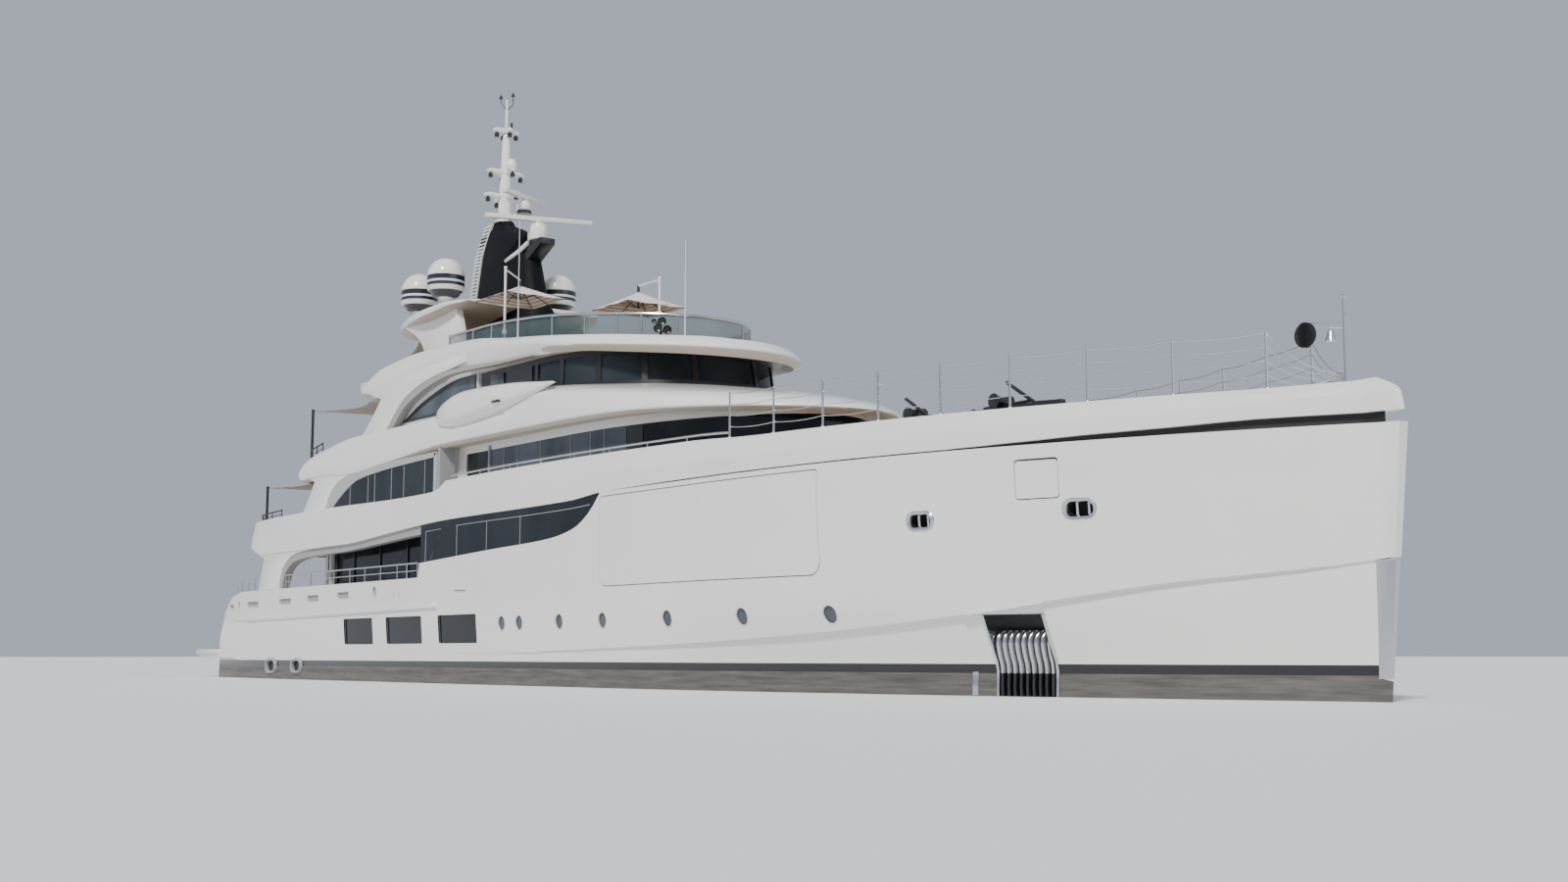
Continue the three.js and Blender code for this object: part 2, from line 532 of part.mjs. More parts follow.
for (const { name, x, y, length } of CRANES) {
  const beam = join(
    block(0, length, -CRANE.beam, CRANE.beam, -CRANE.beam, CRANE.beam),
    bar([0, -CRANE.half, 0], [0, CRANE.half, 0], CRANE.hub, 10),
    bar([0.9, -0.3, 0.26], [0.9, 0.3, 0.26], 0.2, 10),
    bar([length - 0.9, 0, 0.05], [length - 2.0, 0, 0.75], 0.05, 6),
  );
  const mesh = new THREE.Mesh(geometryOf(beam), BLACK);
  mesh.name = name;
  mesh.position.set(x, y, CRANE_PIVOT_Z);
  yacht.add(mesh);
}

// Main deck house: full beam forward, and set in behind a side deck aft, with the saloon hollow
const MAIN_HOUSE = {
  aft: -17.6, step: -6.25, fore: 6.28, inset: 3.95, full: HALF_BEAM - BULWARK_THICK - GAP, roof: 5.96,
};
const SALOON = { aft: -17.45, fore: -7, half: 3.75, floor: 3.3, roof: 5.75 };
const SLIDING_DOOR = { half: 1.0, overlap: 0.08, thick: 0.05 }; // doorway half-width, and its one leaf
const SIDE_GLASS = [
  [-6.12, 4.395], [-0.7, 4.635], [3.3, 4.795], [4.9, 5.035], [5.9, 5.515], [6.42, 6.02], [4.6, 5.935],
  [-4.3, 5.845], [-6.12, 5.76],
]; // x, z of the flush glass over the hull's side
const SALOON_GLASS = [
  [SALOON.aft, SALOON.floor], [SALOON.fore, SALOON.floor], [SALOON.fore, SALOON.roof],
  [SALOON.aft, SALOON.roof],
]; // from the floor to the roof, along each side
function mainHouse() {
  const floor = MAIN_FLOOR_Z + GAP;
  const aftPart = block(MAIN_HOUSE.aft, MAIN_HOUSE.step + 0.1, -MAIN_HOUSE.inset, MAIN_HOUSE.inset, floor,
    MAIN_HOUSE.roof);
  const forePart = block(MAIN_HOUSE.step, MAIN_HOUSE.fore, -MAIN_HOUSE.full, MAIN_HOUSE.full, floor,
    MAIN_HOUSE.roof);
  const saloon = block(SALOON.aft, SALOON.fore, -SALOON.half, SALOON.half, SALOON.floor, SALOON.roof);
  const doorway = block(MAIN_HOUSE.aft - 1, SALOON.aft + 0.1, -SLIDING_DOOR.half, SLIDING_DOOR.half,
    SALOON.floor, SALOON.roof);
  return cut(join(aftPart, forePart), saloon, sidePlate(SALOON_GLASS, -6, 6), doorway);
}
piece("main_deck_house", mainHouse(), WHITE);
pair("side_glass", sidePlate(SIDE_GLASS, -HALF_BEAM, -MAIN_HOUSE.full - GAP), GLASS);
pair("saloon_glass", sidePlate(shrunk(SALOON_GLASS, GAP * 2), -MAIN_HOUSE.inset + 0.02, -SALOON.half - 0.06),
  GLASS);

// A glass leaf that hangs just aft of a doorway
function slidingLeaf(wallX, foot, head) {
  const half = SLIDING_DOOR.half + SLIDING_DOOR.overlap;
  return block(wallX - CLEAR - SLIDING_DOOR.thick, wallX - CLEAR, -half, half, foot, head);
}
piece("saloon_door", slidingLeaf(MAIN_HOUSE.aft, MAIN_FLOOR_Z + CLEAR, 5.82), GLASS);

// Upper deck house: full beam aft with arched windows, and set in forward with a round front
const UPPER_HOUSE = { aft: -14.2, step: -5.1, front: 3, tip: 12.3, half: 4.2, roof: 8.72 };
const UPPER_GLASS = [
  [-14.5, 7.0], [-13.96, 7.25], [-13.1, 7.63], [-12.1, 7.98], [-7.5, 8.22], [-5.3, 8.25], [-5.3, 7.0],
]; // x, z
const UPPER_FRAME = [
  [-15.1, 6.99], [-14.68, 7.6], [-13.73, 8.03], [-11.47, 8.36], [-5.05, 8.45], [-5.05, 6.99],
]; // x, z of the frame round the arched windows
function upperFront(half, tip, z, aft = UPPER_HOUSE.step - 0.5) {
  const { front } = UPPER_HOUSE;
  return planRing({ aft, corner: 0.2, mids: [], front, tip, half: roundFront(half, front, tip) }, z);
}
const upperShell = (half, tip, foot, head, aft) =>
  loft([foot, head].map((z) => upperFront(half, tip, z, aft)));
const BELT = { foot: 7.25, head: 8.32, depth: 0.14 }; // glass round the forward part
function upperHouse() {
  const floor = UPPER_FLOOR_Z + GAP;
  const { aft, step, half, tip, roof } = UPPER_HOUSE;
  const inner = block(aft, step, -4.7, 4.7, floor, roof);
  const fore = upperShell(half, tip, floor, roof);
  const frames = bothSides(sidePlate(UPPER_FRAME, -5.05, -4.6));
  const belt = cut(upperShell(half + 0.3, tip + 0.3, BELT.foot, BELT.head, -4.4),
    upperShell(half - BELT.depth, tip - BELT.depth, BELT.foot - 0.1, BELT.head + 0.1, -6));
  const room = block(aft + 0.15, -6, -4.4, 4.4, UPPER_FLOOR_Z + 0.12, 8.3);
  const doorway = block(aft - 1, aft + 0.3, -SLIDING_DOOR.half, SLIDING_DOOR.half, UPPER_FLOOR_Z + 0.12, 8.2);
  const arches = [sidePlate(UPPER_GLASS, -6, -4.3), sidePlate(UPPER_GLASS, 4.3, 6)];
  const shell = cut(join(inner, fore, frames), ...arches, belt, room, doorway);
  return hungUnder(shell, BRIDGE_DECK);
}
const UPPER_GLASS_SIDE = sidePlate(shrunk(UPPER_GLASS, GAP * 2), -5.06, -4.98);
function upperFrontGlass() {
  const { half, tip } = UPPER_HOUSE;
  return cut(upperShell(half, tip, BELT.foot + GAP, BELT.head - GAP, -4.4 + GAP),
    upperShell(half - BELT.depth + GAP, tip - BELT.depth + GAP, BELT.foot - 0.1, BELT.head + 0.1, -6));
}

// Bridge deck: a brow that rolls up to the wheelhouse sill, and the aft deck with its legs
const BRIDGE_LOWER_EDGE = [
  [-18.7, 8.2], [-16.1, 8.28], [-13, 8.12], [-8.8, 8.33], [-4.2, 8.56], [3.2, 8.54], [6.9, 8.52], [10, 8.4],
  [13.5, 8.22],
];
const BRIDGE_UPPER_EDGE = [
  [-18.6, 8.95], [-17.7, 9.22], [-15.7, 9.5], [-12.7, 9.75], [-7, 9.75], [-2, 10], [2.4, 9.98], [5, 9.85],
  [7.7, 9.72],
];
const BRIDGE_MIDS = [-16, -13, -8.8, -4.2, -1];
const bridgePlan = (aft, tip, half, front = 3.4) => ({
  aft, corner: 1.2, mids: BRIDGE_MIDS, front, tip, half: roundFront(half, front, tip),
});
function bridgeDeck() {
  const rings = [
    planRing(bridgePlan(-18.2, 12.8, 4.6), 8.6),
    planRing(bridgePlan(-18.3, 13.2, 4.9), BRIDGE_LOWER_EDGE),
    planRing(bridgePlan(-18.8, 13.5, 5.08), raised(BRIDGE_LOWER_EDGE, 0.16)),
    planRing(bridgePlan(-19, 13.0, 5.1), raised(BRIDGE_LOWER_EDGE, 0.4)),
    planRing(bridgePlan(-18.9, 11.2, 4.98), [[-18.9, 8.85], [-16, 9.2], [3, 9.35], [11.2, 9.1]]),
    planRing(bridgePlan(-18.6, 7.7, 4.86, 0), BRIDGE_UPPER_EDGE),
    planRing(bridgePlan(-18.4, 7.3, 4.66, 0), BRIDGE_UPPER_EDGE),
    planRing(bridgePlan(-18.4, 7.2, 4.62, 0), BRIDGE_FLOOR_Z),
  ];
  const leg = [
    [-17.2, 8.4], [-16.41, 8.19], [-16.95, 7.57], [-17.6, 6.85], [-15.2, 6.85], [-14.72, 7.6], [-13.76, 8.06],
    [-11.47, 8.39], [-10.5, 8.5], [-10.5, 8.7], [-17.2, 8.7],
  ];
  const legs = standingOn(standingOn(bothSides(sidePlate(leg, -5.04, -4.62)), UPPER_DECK), UPPER_DECK_AFT);
  return join(loft(rings), legs, bothSides(wingStation()));
}

// A docking station that swells out of the bulwark
function wingStation() {
  const rows = [
    [-6.3, 0.02], [-5.2, 0.5], [-3.6, 0.85], [-1.8, 1], [0, 0.95], [1.6, 0.62], [2.6, 0.05],
  ]; // x, share of the swelling
  return loft(rows.map(([x, share]) => {
    const top = 9.75 + 0.72 * share;
    const foot = 9.5 - 0.35 * share;
    const out = 4.9 + 0.6 * share;
    return [[x, -4.72, foot + 0.1], [x, -out + 0.22 * share, foot], [x, -out, (top + foot) / 2 - 0.1],
      [x, -out + 0.1 * share, top - 0.12], [x, -out + 0.3 * share, top], [x, -4.72, top - 0.02]];
  }), [1, 2]);
}
const BRIDGE_DECK = bridgeDeck();
piece("upper_deck_house", upperHouse(), WHITE);
pair("upper_side_glass", UPPER_GLASS_SIDE, GLASS);
piece("upper_front_glass", upperFrontGlass(), GLASS);
piece("upper_aft_door", slidingLeaf(UPPER_HOUSE.aft, UPPER_FLOOR_Z + CLEAR, 8.28), GLASS);
piece("bridge_deck", BRIDGE_DECK, WHITE);

// Wheelhouse: hollow, with pillars between its panes, and the lounge behind it
const SUN_UNDERSIDE_Z = 11.15;
const WHEELHOUSE = {
  aft: -3.2, front: 1.2, tip: 6.7, rake: 0.25, half: 4.3, wall: 0.16, sill: 9.9, head: 10.72,
  roof: SUN_UNDERSIDE_Z - GAP,
};
function wheelRing(inset, z) {
  const { aft, front, rake } = WHEELHOUSE;
  const tip = WHEELHOUSE.tip - inset - rake * (z - 9);
  const half = roundFront(WHEELHOUSE.half - inset, front, tip);
  return planRing({ aft: aft + inset, corner: 0.15, mids: [], front, tip, half }, z);
}
const wheelShell = (inset, foot, head) => loft([wheelRing(inset, foot), wheelRing(inset, head)]);
const PANE_ANGLES = [-78, -60, -43, -27, -11.5, 11.5, 27, 43, 60, 78]; // pillars, degrees from the bow
function wheelhouse() {
  const { wall, sill, head, roof } = WHEELHOUSE;
  const shell = cut(wheelShell(0, BRIDGE_FLOOR_Z + GAP, roof),
    wheelShell(wall, BRIDGE_FLOOR_Z + 0.1, roof - 0.12));
  const belt = cut(wheelShell(-0.3, sill, head), block(-6, WHEELHOUSE.front - 0.6, -6, 6, 9, 12));
  const pillars = PANE_ANGLES.map((degrees) => {
    const turn = THREE.MathUtils.degToRad(degrees);
    const geometry = new THREE.BoxGeometry(7, 0.16, 3).translate(3.5, 0, 0);
    return solid(geometry.rotateZ(turn).translate(WHEELHOUSE.front - 1.2, 0, 10.3));
  });
  const doorways = bothSides(block(-2.3, -1.4, -5, -3.9, BRIDGE_FLOOR_Z + 0.1, 10.95));
  return cut(shell, cut(belt, ...pillars), doorways);
}
const HELM = join(block(3.4, 4.1, -1.9, 1.9, 9.0, 9.75), block(3.3, 3.6, -1.7, 1.7, 9.7, 9.95));
piece("wheelhouse", join(wheelhouse(), HELM), BLACK);
function wheelhouseGlass() {
  const { sill, head } = WHEELHOUSE;
  const band = cut(wheelShell(0.19, sill - 0.1, head + 0.1), wheelShell(0.23, sill - 0.2, head + 0.2));
  return cut(band, block(-6, WHEELHOUSE.front - 0.9, -6, 6, 9, 12));
}
piece("wheelhouse_glass", wheelhouseGlass(), CLEAR_GLASS);
const SIDE_DOOR = { aft: -2.34, fore: -1.36, foot: BRIDGE_FLOOR_Z + CLEAR, head: 10.98, thick: 0.045 };
pair("wheelhouse_door", block(SIDE_DOOR.aft, SIDE_DOOR.fore, -WHEELHOUSE.half - CLEAR - SIDE_DOOR.thick,
  -WHEELHOUSE.half - CLEAR, SIDE_DOOR.foot, SIDE_DOOR.head), GLASS);

// Lounge on the bridge deck, with one arched window a side
const LOUNGE_GLASS = [[-9.1, 10.06], [-7.9, 10.4], [-6.6, 10.72], [-4.5, 11.1], [-3.4, 11.1], [-3.4, 10.06]];
function lounge() {
  const body = block(-10.4, WHEELHOUSE.aft - GAP, -4.4, 4.4, BRIDGE_FLOOR_Z + GAP, WHEELHOUSE.roof);
  return cut(body, bothSides(sidePlate(LOUNGE_GLASS, -4.6, -4.3)));
}
piece("sky_lounge", lounge(), WHITE);
pair("lounge_glass", sidePlate(shrunk(LOUNGE_GLASS, 0.004), -4.41, -4.3 - GAP), GLASS);

// Sun deck: a round brow over the wheelhouse, and side legs that sweep down to the bridge deck
const SUN_LOWER_EDGE = [
  [-13, 11.2], [-10.5, 11.25], [-4.6, 11.45], [0, 11.25], [3.3, 11.12], [5.5, 10.9], [8, 10.66],
];
const SUN_MID_EDGE = [[-13.2, 11.5], [-9, 11.9], [-3.5, 12.1], [0, 11.8], [4, 11.3], [8, 10.95]];
const SUN_UPPER_EDGE = [
  [-12.9, 11.75], [-10.9, 12.3], [-7.5, 12.5], [-3.5, 12.4], [0, 12.0], [4, 11.6], [7.4, 11.3],
];
const sunPlan = (aft, tip, half) => ({
  aft, corner: 1.0, mids: [-9, -6, -3.5], front: 0.5, tip, half: roundFront(half, 0.5, tip),
});
function sunDeck() {
  const rings = [
    planRing(sunPlan(-12.6, 7.2, 4.4), SUN_UNDERSIDE_Z),
    planRing(sunPlan(-12.7, 7.7, 4.6), raised(SUN_LOWER_EDGE, -0.02)),
    planRing(sunPlan(-13.2, 8.0, 4.85), SUN_MID_EDGE),
    planRing(sunPlan(-12.9, 7.6, 4.65), SUN_UPPER_EDGE),
    planRing(sunPlan(-12.7, 6.6, 4.3), SUN_UPPER_EDGE),
    planRing(sunPlan(-12.6, 6.4, 4.25), SUN_FLOOR_Z),
  ];
  const leg = [
    [-12.6, 11.6], [-10.6, 11.04], [-11.35, 10.43], [-12.3, 9.6], [-10.1, 9.6], [-8.85, 10.66],
    [-7.68, 11.09], [-6.19, 11.36], [-4.6, 11.49], [-3.5, 11.6], [-12.6, 11.9],
  ];
  return join(loft(rings), standingOn(bothSides(sidePlate(leg, -4.8, -4.42)), BRIDGE_DECK));
}
const SUN_DECK = sunDeck();
piece("sun_deck", SUN_DECK, WHITE);

// Glass windbreak round the sun deck, with its steel posts and cap rail as one fence
const windPlan = (inset) => ({
  aft: -9.5 + inset, corner: 1, mids: [-6.5, -3.5], front: -1.2, tip: 5.6 - inset,
  half: roundFront(3.95 - inset, -1.2, 5.6 - inset),
});
const WIND_TOP = [[-9.5, 13.05], [-3.5, 13.0], [0, 12.8], [5.6, 12.35]];
function windbreak() {
  const foot = SUN_FLOOR_Z + GAP;
  const outer = loft([planRing(windPlan(0), foot), planRing(windPlan(0), WIND_TOP)]);
  const inner = loft([planRing(windPlan(0.06), foot - 0.1), planRing(windPlan(0.06), 14)]);
  return cut(outer, inner, block(-12, -6.5, -6, 6, 11, 14));
}
piece("windbreak", windbreak(), CLEAR_GLASS);

// Radars: a turning unit, and a scanner blade that turns above it
const RADARS = [
  { name: "large_radar", x: -6.8, foot: 17.38, width: 0.34, height: 0.74, length: 4.3, turn: 72 },
  { name: "small_radar", x: -8, foot: 18.86, width: 0.26, height: 0.42, length: 2.6, turn: 114 },
]; // metres, and degrees from the bow at rest
const turningUnit = ({ x, foot, width, height }) => turned([
  [0, foot], [width * 0.7, foot], [width, foot + 0.2], [width, foot + height - 0.16],
  [width * 0.75, foot + height], [0, foot + height],
], 12, x);

// Mast: a black trunk on the sun deck, a bracket for the large radar, and a white pole with spreaders
const TRUNK = [
  [SUN_FLOOR_Z + GAP, -11.2, -5.6, 1.05], [14.3, -11.2, -6.0, 0.95], [15.0, -11.2, -6.5, 0.8],
  [17.3, -11.0, -7.1, 0.6], [17.8, -10.93, -7.55, 0.56], [18.1, -10.87, -8.1, 0.52],
  [18.15, -10.85, -9.05, 0.5], [18.66, -10.5, -9.12, 0.4],
]; // height, aft, fore, half-width: the head is stepped so that the large radar clears it
const trunkBody = (grown) => loft(TRUNK.map(([z, aft, fore, half]) => {
  const [a, f, h] = [aft - grown, fore + grown, half + grown];
  const starboard = [[a, -h * 0.8, z], [a + 0.35, -h, z], [f - 0.9, -h, z], [f, -h * 0.35, z]];
  return [...starboard, ...starboard.map(([x, y]) => [x, -y, z]).reverse()];
}));
function mastTrunk() {
  const bracket = sidePlate([[-8, 16.5], [-7.2, 16.7], [-6.1, 17.15], [-6.1, 17.4], [-8, 17.4]], -0.36, 0.36);
  return join(trunkBody(0), bracket, turningUnit(RADARS[0]));
}
piece("mast_trunk", mastTrunk(), BLACK);

for (const { name, x, foot, height, length, turn } of RADARS) {
  const scanner = new THREE.Group();
  scanner.position.set(x, 0, foot + height + CLEAR);
  scanner.rotation.z = THREE.MathUtils.degToRad(turn);
  const bladeShape = new THREE.BoxGeometry(length, 0.24, 0.17).translate(0, 0, 0.14);
  const hub = new THREE.CylinderGeometry(0.13, 0.16, 0.1, 10).rotateX(Math.PI / 2).translate(0, 0, 0.05);
  const mesh = new THREE.Mesh(geometryOf(join(solid(bladeShape), solid(hub))), WHITE);
  mesh.name = name + "_scanner";
  scanner.add(mesh);
  yacht.add(scanner);
}

const POLE_X = -9.63;
const SPREADERS = [
  { z: 19.72, aft: 0.9, fore: 1.1, half: 0.95 },
  { z: 20.75, aft: 0.5, fore: 0.75, half: 0.85 },
  { z: 22.5, aft: 0.45, fore: 0.45, half: 0.6 },
]; // height, reach aft, forward and to each side
function mastPole() {
  const foot = 18.66 + GAP;
  const pole = turned([
    [0, foot], [0.3, foot], [0.24, 20], [0.15, 22.3], [0.06, 22.45], [0.05, 23.9], [0, 23.9],
  ], 10, POLE_X);
  const arms = SPREADERS.map(({ z, aft, fore, half }) => {
    const arm = [[-aft, -0.16], [-0.15, -half], [0.15, -half], [fore, -0.16]];
    const side = arm.map(([x, y]) => [POLE_X + x, y]);
    return deckPlate([...side, ...side.map(([x, y]) => [x, -y]).reverse()], z, z + 0.09);
  });
  const dome = turned([[0, 20.8], [0.2, 20.8], [0.22, 21.0], [0.16, 21.2], [0, 21.28]], 10, POLE_X + 0.5);
  const aerials = [-0.28, 0.28].map((y) => bar([POLE_X, y * 0.2, 23.6], [POLE_X, y, 24.3], 0.02, 4));
  const shelf = block(POLE_X - 0.1, RADARS[1].x + 0.2, -0.12, 0.12, 18.78, 18.9);
  return join(pole, ...arms, dome, ...aerials, shelf, turningUnit(RADARS[1]));
}
piece("mast_pole", mastPole(), WHITE);

// Hardtop wing behind the mast, which carries four domes
const HARDTOP = [
  [-15.9, 14.55, 0.25, 0.7], [-15.2, 14.4, 0.5, 1.7], [-13.5, 14.25, 0.62, 2.7], [-11.5, 14.2, 0.66, 3.25],
  [-9.5, 14.25, 0.6, 3.5], [-8, 14.4, 0.42, 3.45], [-6.9, 14.6, 0.16, 2.9],
]; // x, underside, thickness, half-width
const HARDTOP_LEG = [
  [-12.6, 14.45], [-10.9, 13.5], [-9.9, 11.5], [-7.6, 11.5], [-7.5, 13.4], [-7.9, 14.5],
]; // x, z of the wall under each side
function hardtop() {
  const body = loft(HARDTOP.map(([x, foot, thick, half]) => {
    const port = [[half * 0.8, foot], [half, foot + thick * 0.55], [half * 0.8, foot + thick]];
    return [...port.map(([y, z]) => [x, y, z]), ...port.map(([y, z]) => [x, -y, z]).reverse()];
  }), [1, 2]);
  const legs = standingOn(bothSides(sidePlate(HARDTOP_LEG, -3.0, -2.7)), SUN_DECK);
  return cut(join(body, legs), trunkBody(GAP * 2));
}

const DOME = { radius: 0.75, segments: 14, arcs: 4, post: 0.14, foot: 14.6 };
const DOMES = [
  { x: -9.65, centre: 16.08 },
  { x: -12, centre: 15.85 },
]; // each stands at both sides
const DOME_Y = 2.58;
function dome({ x, centre }, y) {
  const profile = [[0, DOME.foot], [DOME.post, DOME.foot], [DOME.post, centre - 1.0], [0.45, centre - 0.88],
    [0.66, centre - 0.66], [DOME.radius, centre - 0.3]];
  for (let i = 0; i <= DOME.arcs; i++) {
    const turn = (Math.PI / 2) * (i / DOME.arcs);
    profile.push([DOME.radius * Math.cos(turn), centre + DOME.radius * Math.sin(turn)]);
  }
  return turned(profile, DOME.segments, x, y);
}
const HARDTOP_BODY = join(hardtop(), ...DOMES.flatMap((at) => [dome(at, -DOME_Y), dome(at, DOME_Y)]));
piece("hardtop", HARDTOP_BODY, WHITE);

// Umbrellas on the sun deck
const UMBRELLAS = [
  { name: "umbrella_aft", x: -4.2, y: -2.2, half: 1.25, rim: 14.3, crown: 14.85, pole: [1.35, -1.35] },
  { name: "umbrella_fore", x: 2.2, y: -1.0, half: 1.2, rim: 13.1, crown: 13.7, pole: [1.35, 0] },
]; // pole: its foot, from the canopy's middle
for (const { name, x, y, half, rim, crown, pole } of UMBRELLAS) {
  const corners = [[-1, -1], [1, -1], [1, 1], [-1, 1]];
  const at = (reach, z) => corners.map(([a, b]) => [x + a * reach, y + b * reach, z]);
  piece(name + "_canopy", loft([at(half, rim - 0.02), at(half, rim + 0.03), at(0.08, crown)]), CANVAS);
  const [px, py] = [x + pole[0], y + pole[1]];
  const foot = SUN_FLOOR_Z + GAP;
  const arm = crown + 0.22;
  piece(name + "_pole", join(
    block(px - 0.3, px + 0.3, py - 0.3, py + 0.3, foot, foot + 0.1),
    bar([px, py, foot], [px, py, arm + 0.05], 0.045, 8),
    bar([px, py, arm], [x, y, arm], 0.035, 6),
    bar([x, y, arm + 0.03], [x, y, crown + CLEAR], 0.03, 6),
  ), STEEL);
}

// Awnings over the aft decks, held by poles aft and by the deck above forward
const POLE_RADIUS = 0.06;
const AWNINGS = [
  { name: "awning_sun_deck", aft: [-15.2, 13.1], fore: [-12.2, 14.3], halfAft: 2.2, halfFore: 2.4,
    deck: HARDTOP_BODY },
  { name: "awning_bridge_deck", aft: [-18.2, 11.4], fore: [-13.0, 11.25], halfAft: 4.4, halfFore: 4.2,
    deck: SUN_DECK },
  { name: "awning_upper_deck", aft: [-22.6, 8.4], fore: [-18.5, 8.45], halfAft: 4.6, halfFore: 4.4,
    deck: BRIDGE_DECK },
]; // x and z of each edge
const AWNING_THICK = 0.05;
for (const { name, aft, fore, halfAft, halfFore, deck } of AWNINGS) {
  const ring = ([x, z], half) =>
    [[x, -half, z], [x, half, z], [x, half, z + AWNING_THICK], [x, -half, z + AWNING_THICK]];
  const sheet = loft([ring(aft, halfAft), ring(fore, halfFore)], [1, 2]);
  piece(name, cut(sheet, moved(deck, -GAP, 0, 0), moved(deck, 0, 0, -GAP)), CANVAS);
}

// Rails
const RAIL = { post: 0.03, top: 0.032, wire: 0.018 };
function fence(feet, height, lines, ends = []) {
  const at = (index, share) => [feet[index][0], feet[index][1], feet[index][2] + height * share];
  const posts = feet.map(([x, y, z]) => bar([x, y, z - 0.03], [x, y, z + height], RAIL.post, 4));
  const runs = lines.map(({ share, radius }) => run([...feet.map((_, i) => at(i, share)), ...ends], radius));
  return join(...posts, ...runs);
}
const TWO_LINES = [{ share: 1, radius: RAIL.top }, { share: 0.5, radius: RAIL.wire }];

const BOW_RAIL = { first: 12.9, pitch: 1.98, count: 9, height: 1.3 };
function bowRail() {
  const feet = [];
  for (let i = 0; i < BOW_RAIL.count; i++) {
    const x = BOW_RAIL.first + BOW_RAIL.pitch * i;
    feet.push([x, -(bowHalf(between(UPPER_TUMBLEHOME, x), 31.06)(x) - 0.1), between(UPPER_UPPER_EDGE, x)]);
  }
  return fence(feet, BOW_RAIL.height, TWO_LINES, [[30.1, -0.16, 7.3]]);
}

const HAND_RAIL = { aft: -4, fore: BOW_RAIL.first, posts: 6, height: 0.16 };
function handRail() {
  const feet = [];
  for (let i = 0; i <= HAND_RAIL.posts; i++) {
    const x = HAND_RAIL.aft + ((HAND_RAIL.fore - HAND_RAIL.aft) * i) / HAND_RAIL.posts;
    feet.push([x, -(bowHalf(between(UPPER_TUMBLEHOME, x), 31)(x) - 0.1), between(UPPER_UPPER_EDGE, x)]);
  }
  return fence(feet, HAND_RAIL.height, [{ share: 1, radius: 0.035 }]);
}
pair("bow_rail", join(bowRail(), handRail()), STEEL,
  (rail) => standingOn(standingOn(rail, UPPER_DECK), FOREDECK));

const SIDE_RAIL = { aft: -19.2, fore: -6.5, bays: 9, height: 0.56 };
function sideRail() {
  const feet = [];
  for (let i = 0; i <= SIDE_RAIL.bays; i++) {
    feet.push([SIDE_RAIL.aft + ((SIDE_RAIL.fore - SIDE_RAIL.aft) * i) / SIDE_RAIL.bays, -5.02, 3.85]);
  }
  return fence(feet, SIDE_RAIL.height, TWO_LINES);
}
pair("side_deck_rail", sideRail(), STEEL, (rail) => standingOn(rail, bothSides(BULWARK)));

// Rails round the aft decks, with the awning poles
const UPPER_POLES = [{ x: -22.6, y: 4.6 + POLE_RADIUS + GAP * 2, top: 8.5 }];
const BRIDGE_POLES = [{ x: -18.2, y: 4.4 + POLE_RADIUS + GAP * 2, top: 11.5 }];
function aftRail(plan, z, height, poles) {
  const { aft, corner, half, fore } = plan;
  const side = [];
  for (const share of [0.1, 0.5, 1]) {
    const turn = (Math.PI / 2) * share;
    side.push([aft + corner * (1 - Math.cos(turn)), half - corner + corner * Math.sin(turn)]);
  }
  side.push([fore, half]);
  const feet = [...side.map(([x, y]) => [x, y, between(z, x)]).reverse(), [aft, 0, between(z, aft)],
    ...side.map(([x, y]) => [x, -y, between(z, x)])];
  const stands = poles.flatMap(({ x, y, top }) =>
    [-1, 1].map((s) => bar([x, s * y, between(z, x) - 0.03], [x, s * y, top], POLE_RADIUS, 6)));
  return join(fence(feet, height, TWO_LINES), ...stands);
}
piece("upper_aft_rail", standingOn(aftRail({ aft: -23.72, corner: 1.0, half: 4.75, fore: -20.6 },
  UPPER_UPPER_EDGE, 0.36, UPPER_POLES), UPPER_DECK_AFT), STEEL);
piece("bridge_aft_rail", standingOn(aftRail({ aft: -18.5, corner: 1.0, half: 4.72, fore: -16.4 },
  BRIDGE_UPPER_EDGE, 0.42, BRIDGE_POLES), BRIDGE_DECK), STEEL);

// Propellers and rudders
function propeller() {
  const hub = turned([[0, -PROP.aft], [0.14, -PROP.aft], [0.2, -0.1], [0.2, PROP.fore], [0, PROP.fore]], 12);
  const rows = [
    [0.12, 0.2, 62], [0.5, 0.32, 38], [PROP.radius, 0.12, 25],
  ]; // radius, half-chord, pitch in degrees
  const ring = rows.map(([radius, half, pitch]) => {
    const lean = THREE.MathUtils.degToRad(pitch);
    const [c, s] = [Math.cos(lean) * half, Math.sin(lean) * half];
    return [[-c, radius, -s - 0.02], [c, radius, s - 0.02], [c, radius, s + 0.02], [-c, radius, -s + 0.02]];
  });
  const blade = loft(ring, [0, 2]);
  const blades = [...Array(PROP.blades).keys()].map((i) =>
    solid(geometryOf(blade).rotateZ((2 * Math.PI * i) / PROP.blades)));
  return solid(geometryOf(join(hub, ...blades)).rotateY(Math.PI / 2));
}
function rudderBlade() {
  const rows = [[RUDDER.foot - RUDDER.head, 0.8], [0, 1]]; // height, share of the chord
  const blade = loft(rows.map(([z, share]) => [
    [-RUDDER.aft * share, 0, z], [-0.2, -0.11, z], [RUDDER.fore * 0.6, -0.11, z],
    [RUDDER.fore * share, 0, z], [RUDDER.fore * 0.6, 0.11, z], [-0.2, 0.11, z],
  ]));
  return join(blade, bar([0, 0, -0.1], [0, 0, RUDDER.stub - RUDDER.head], 0.1, 8));
}
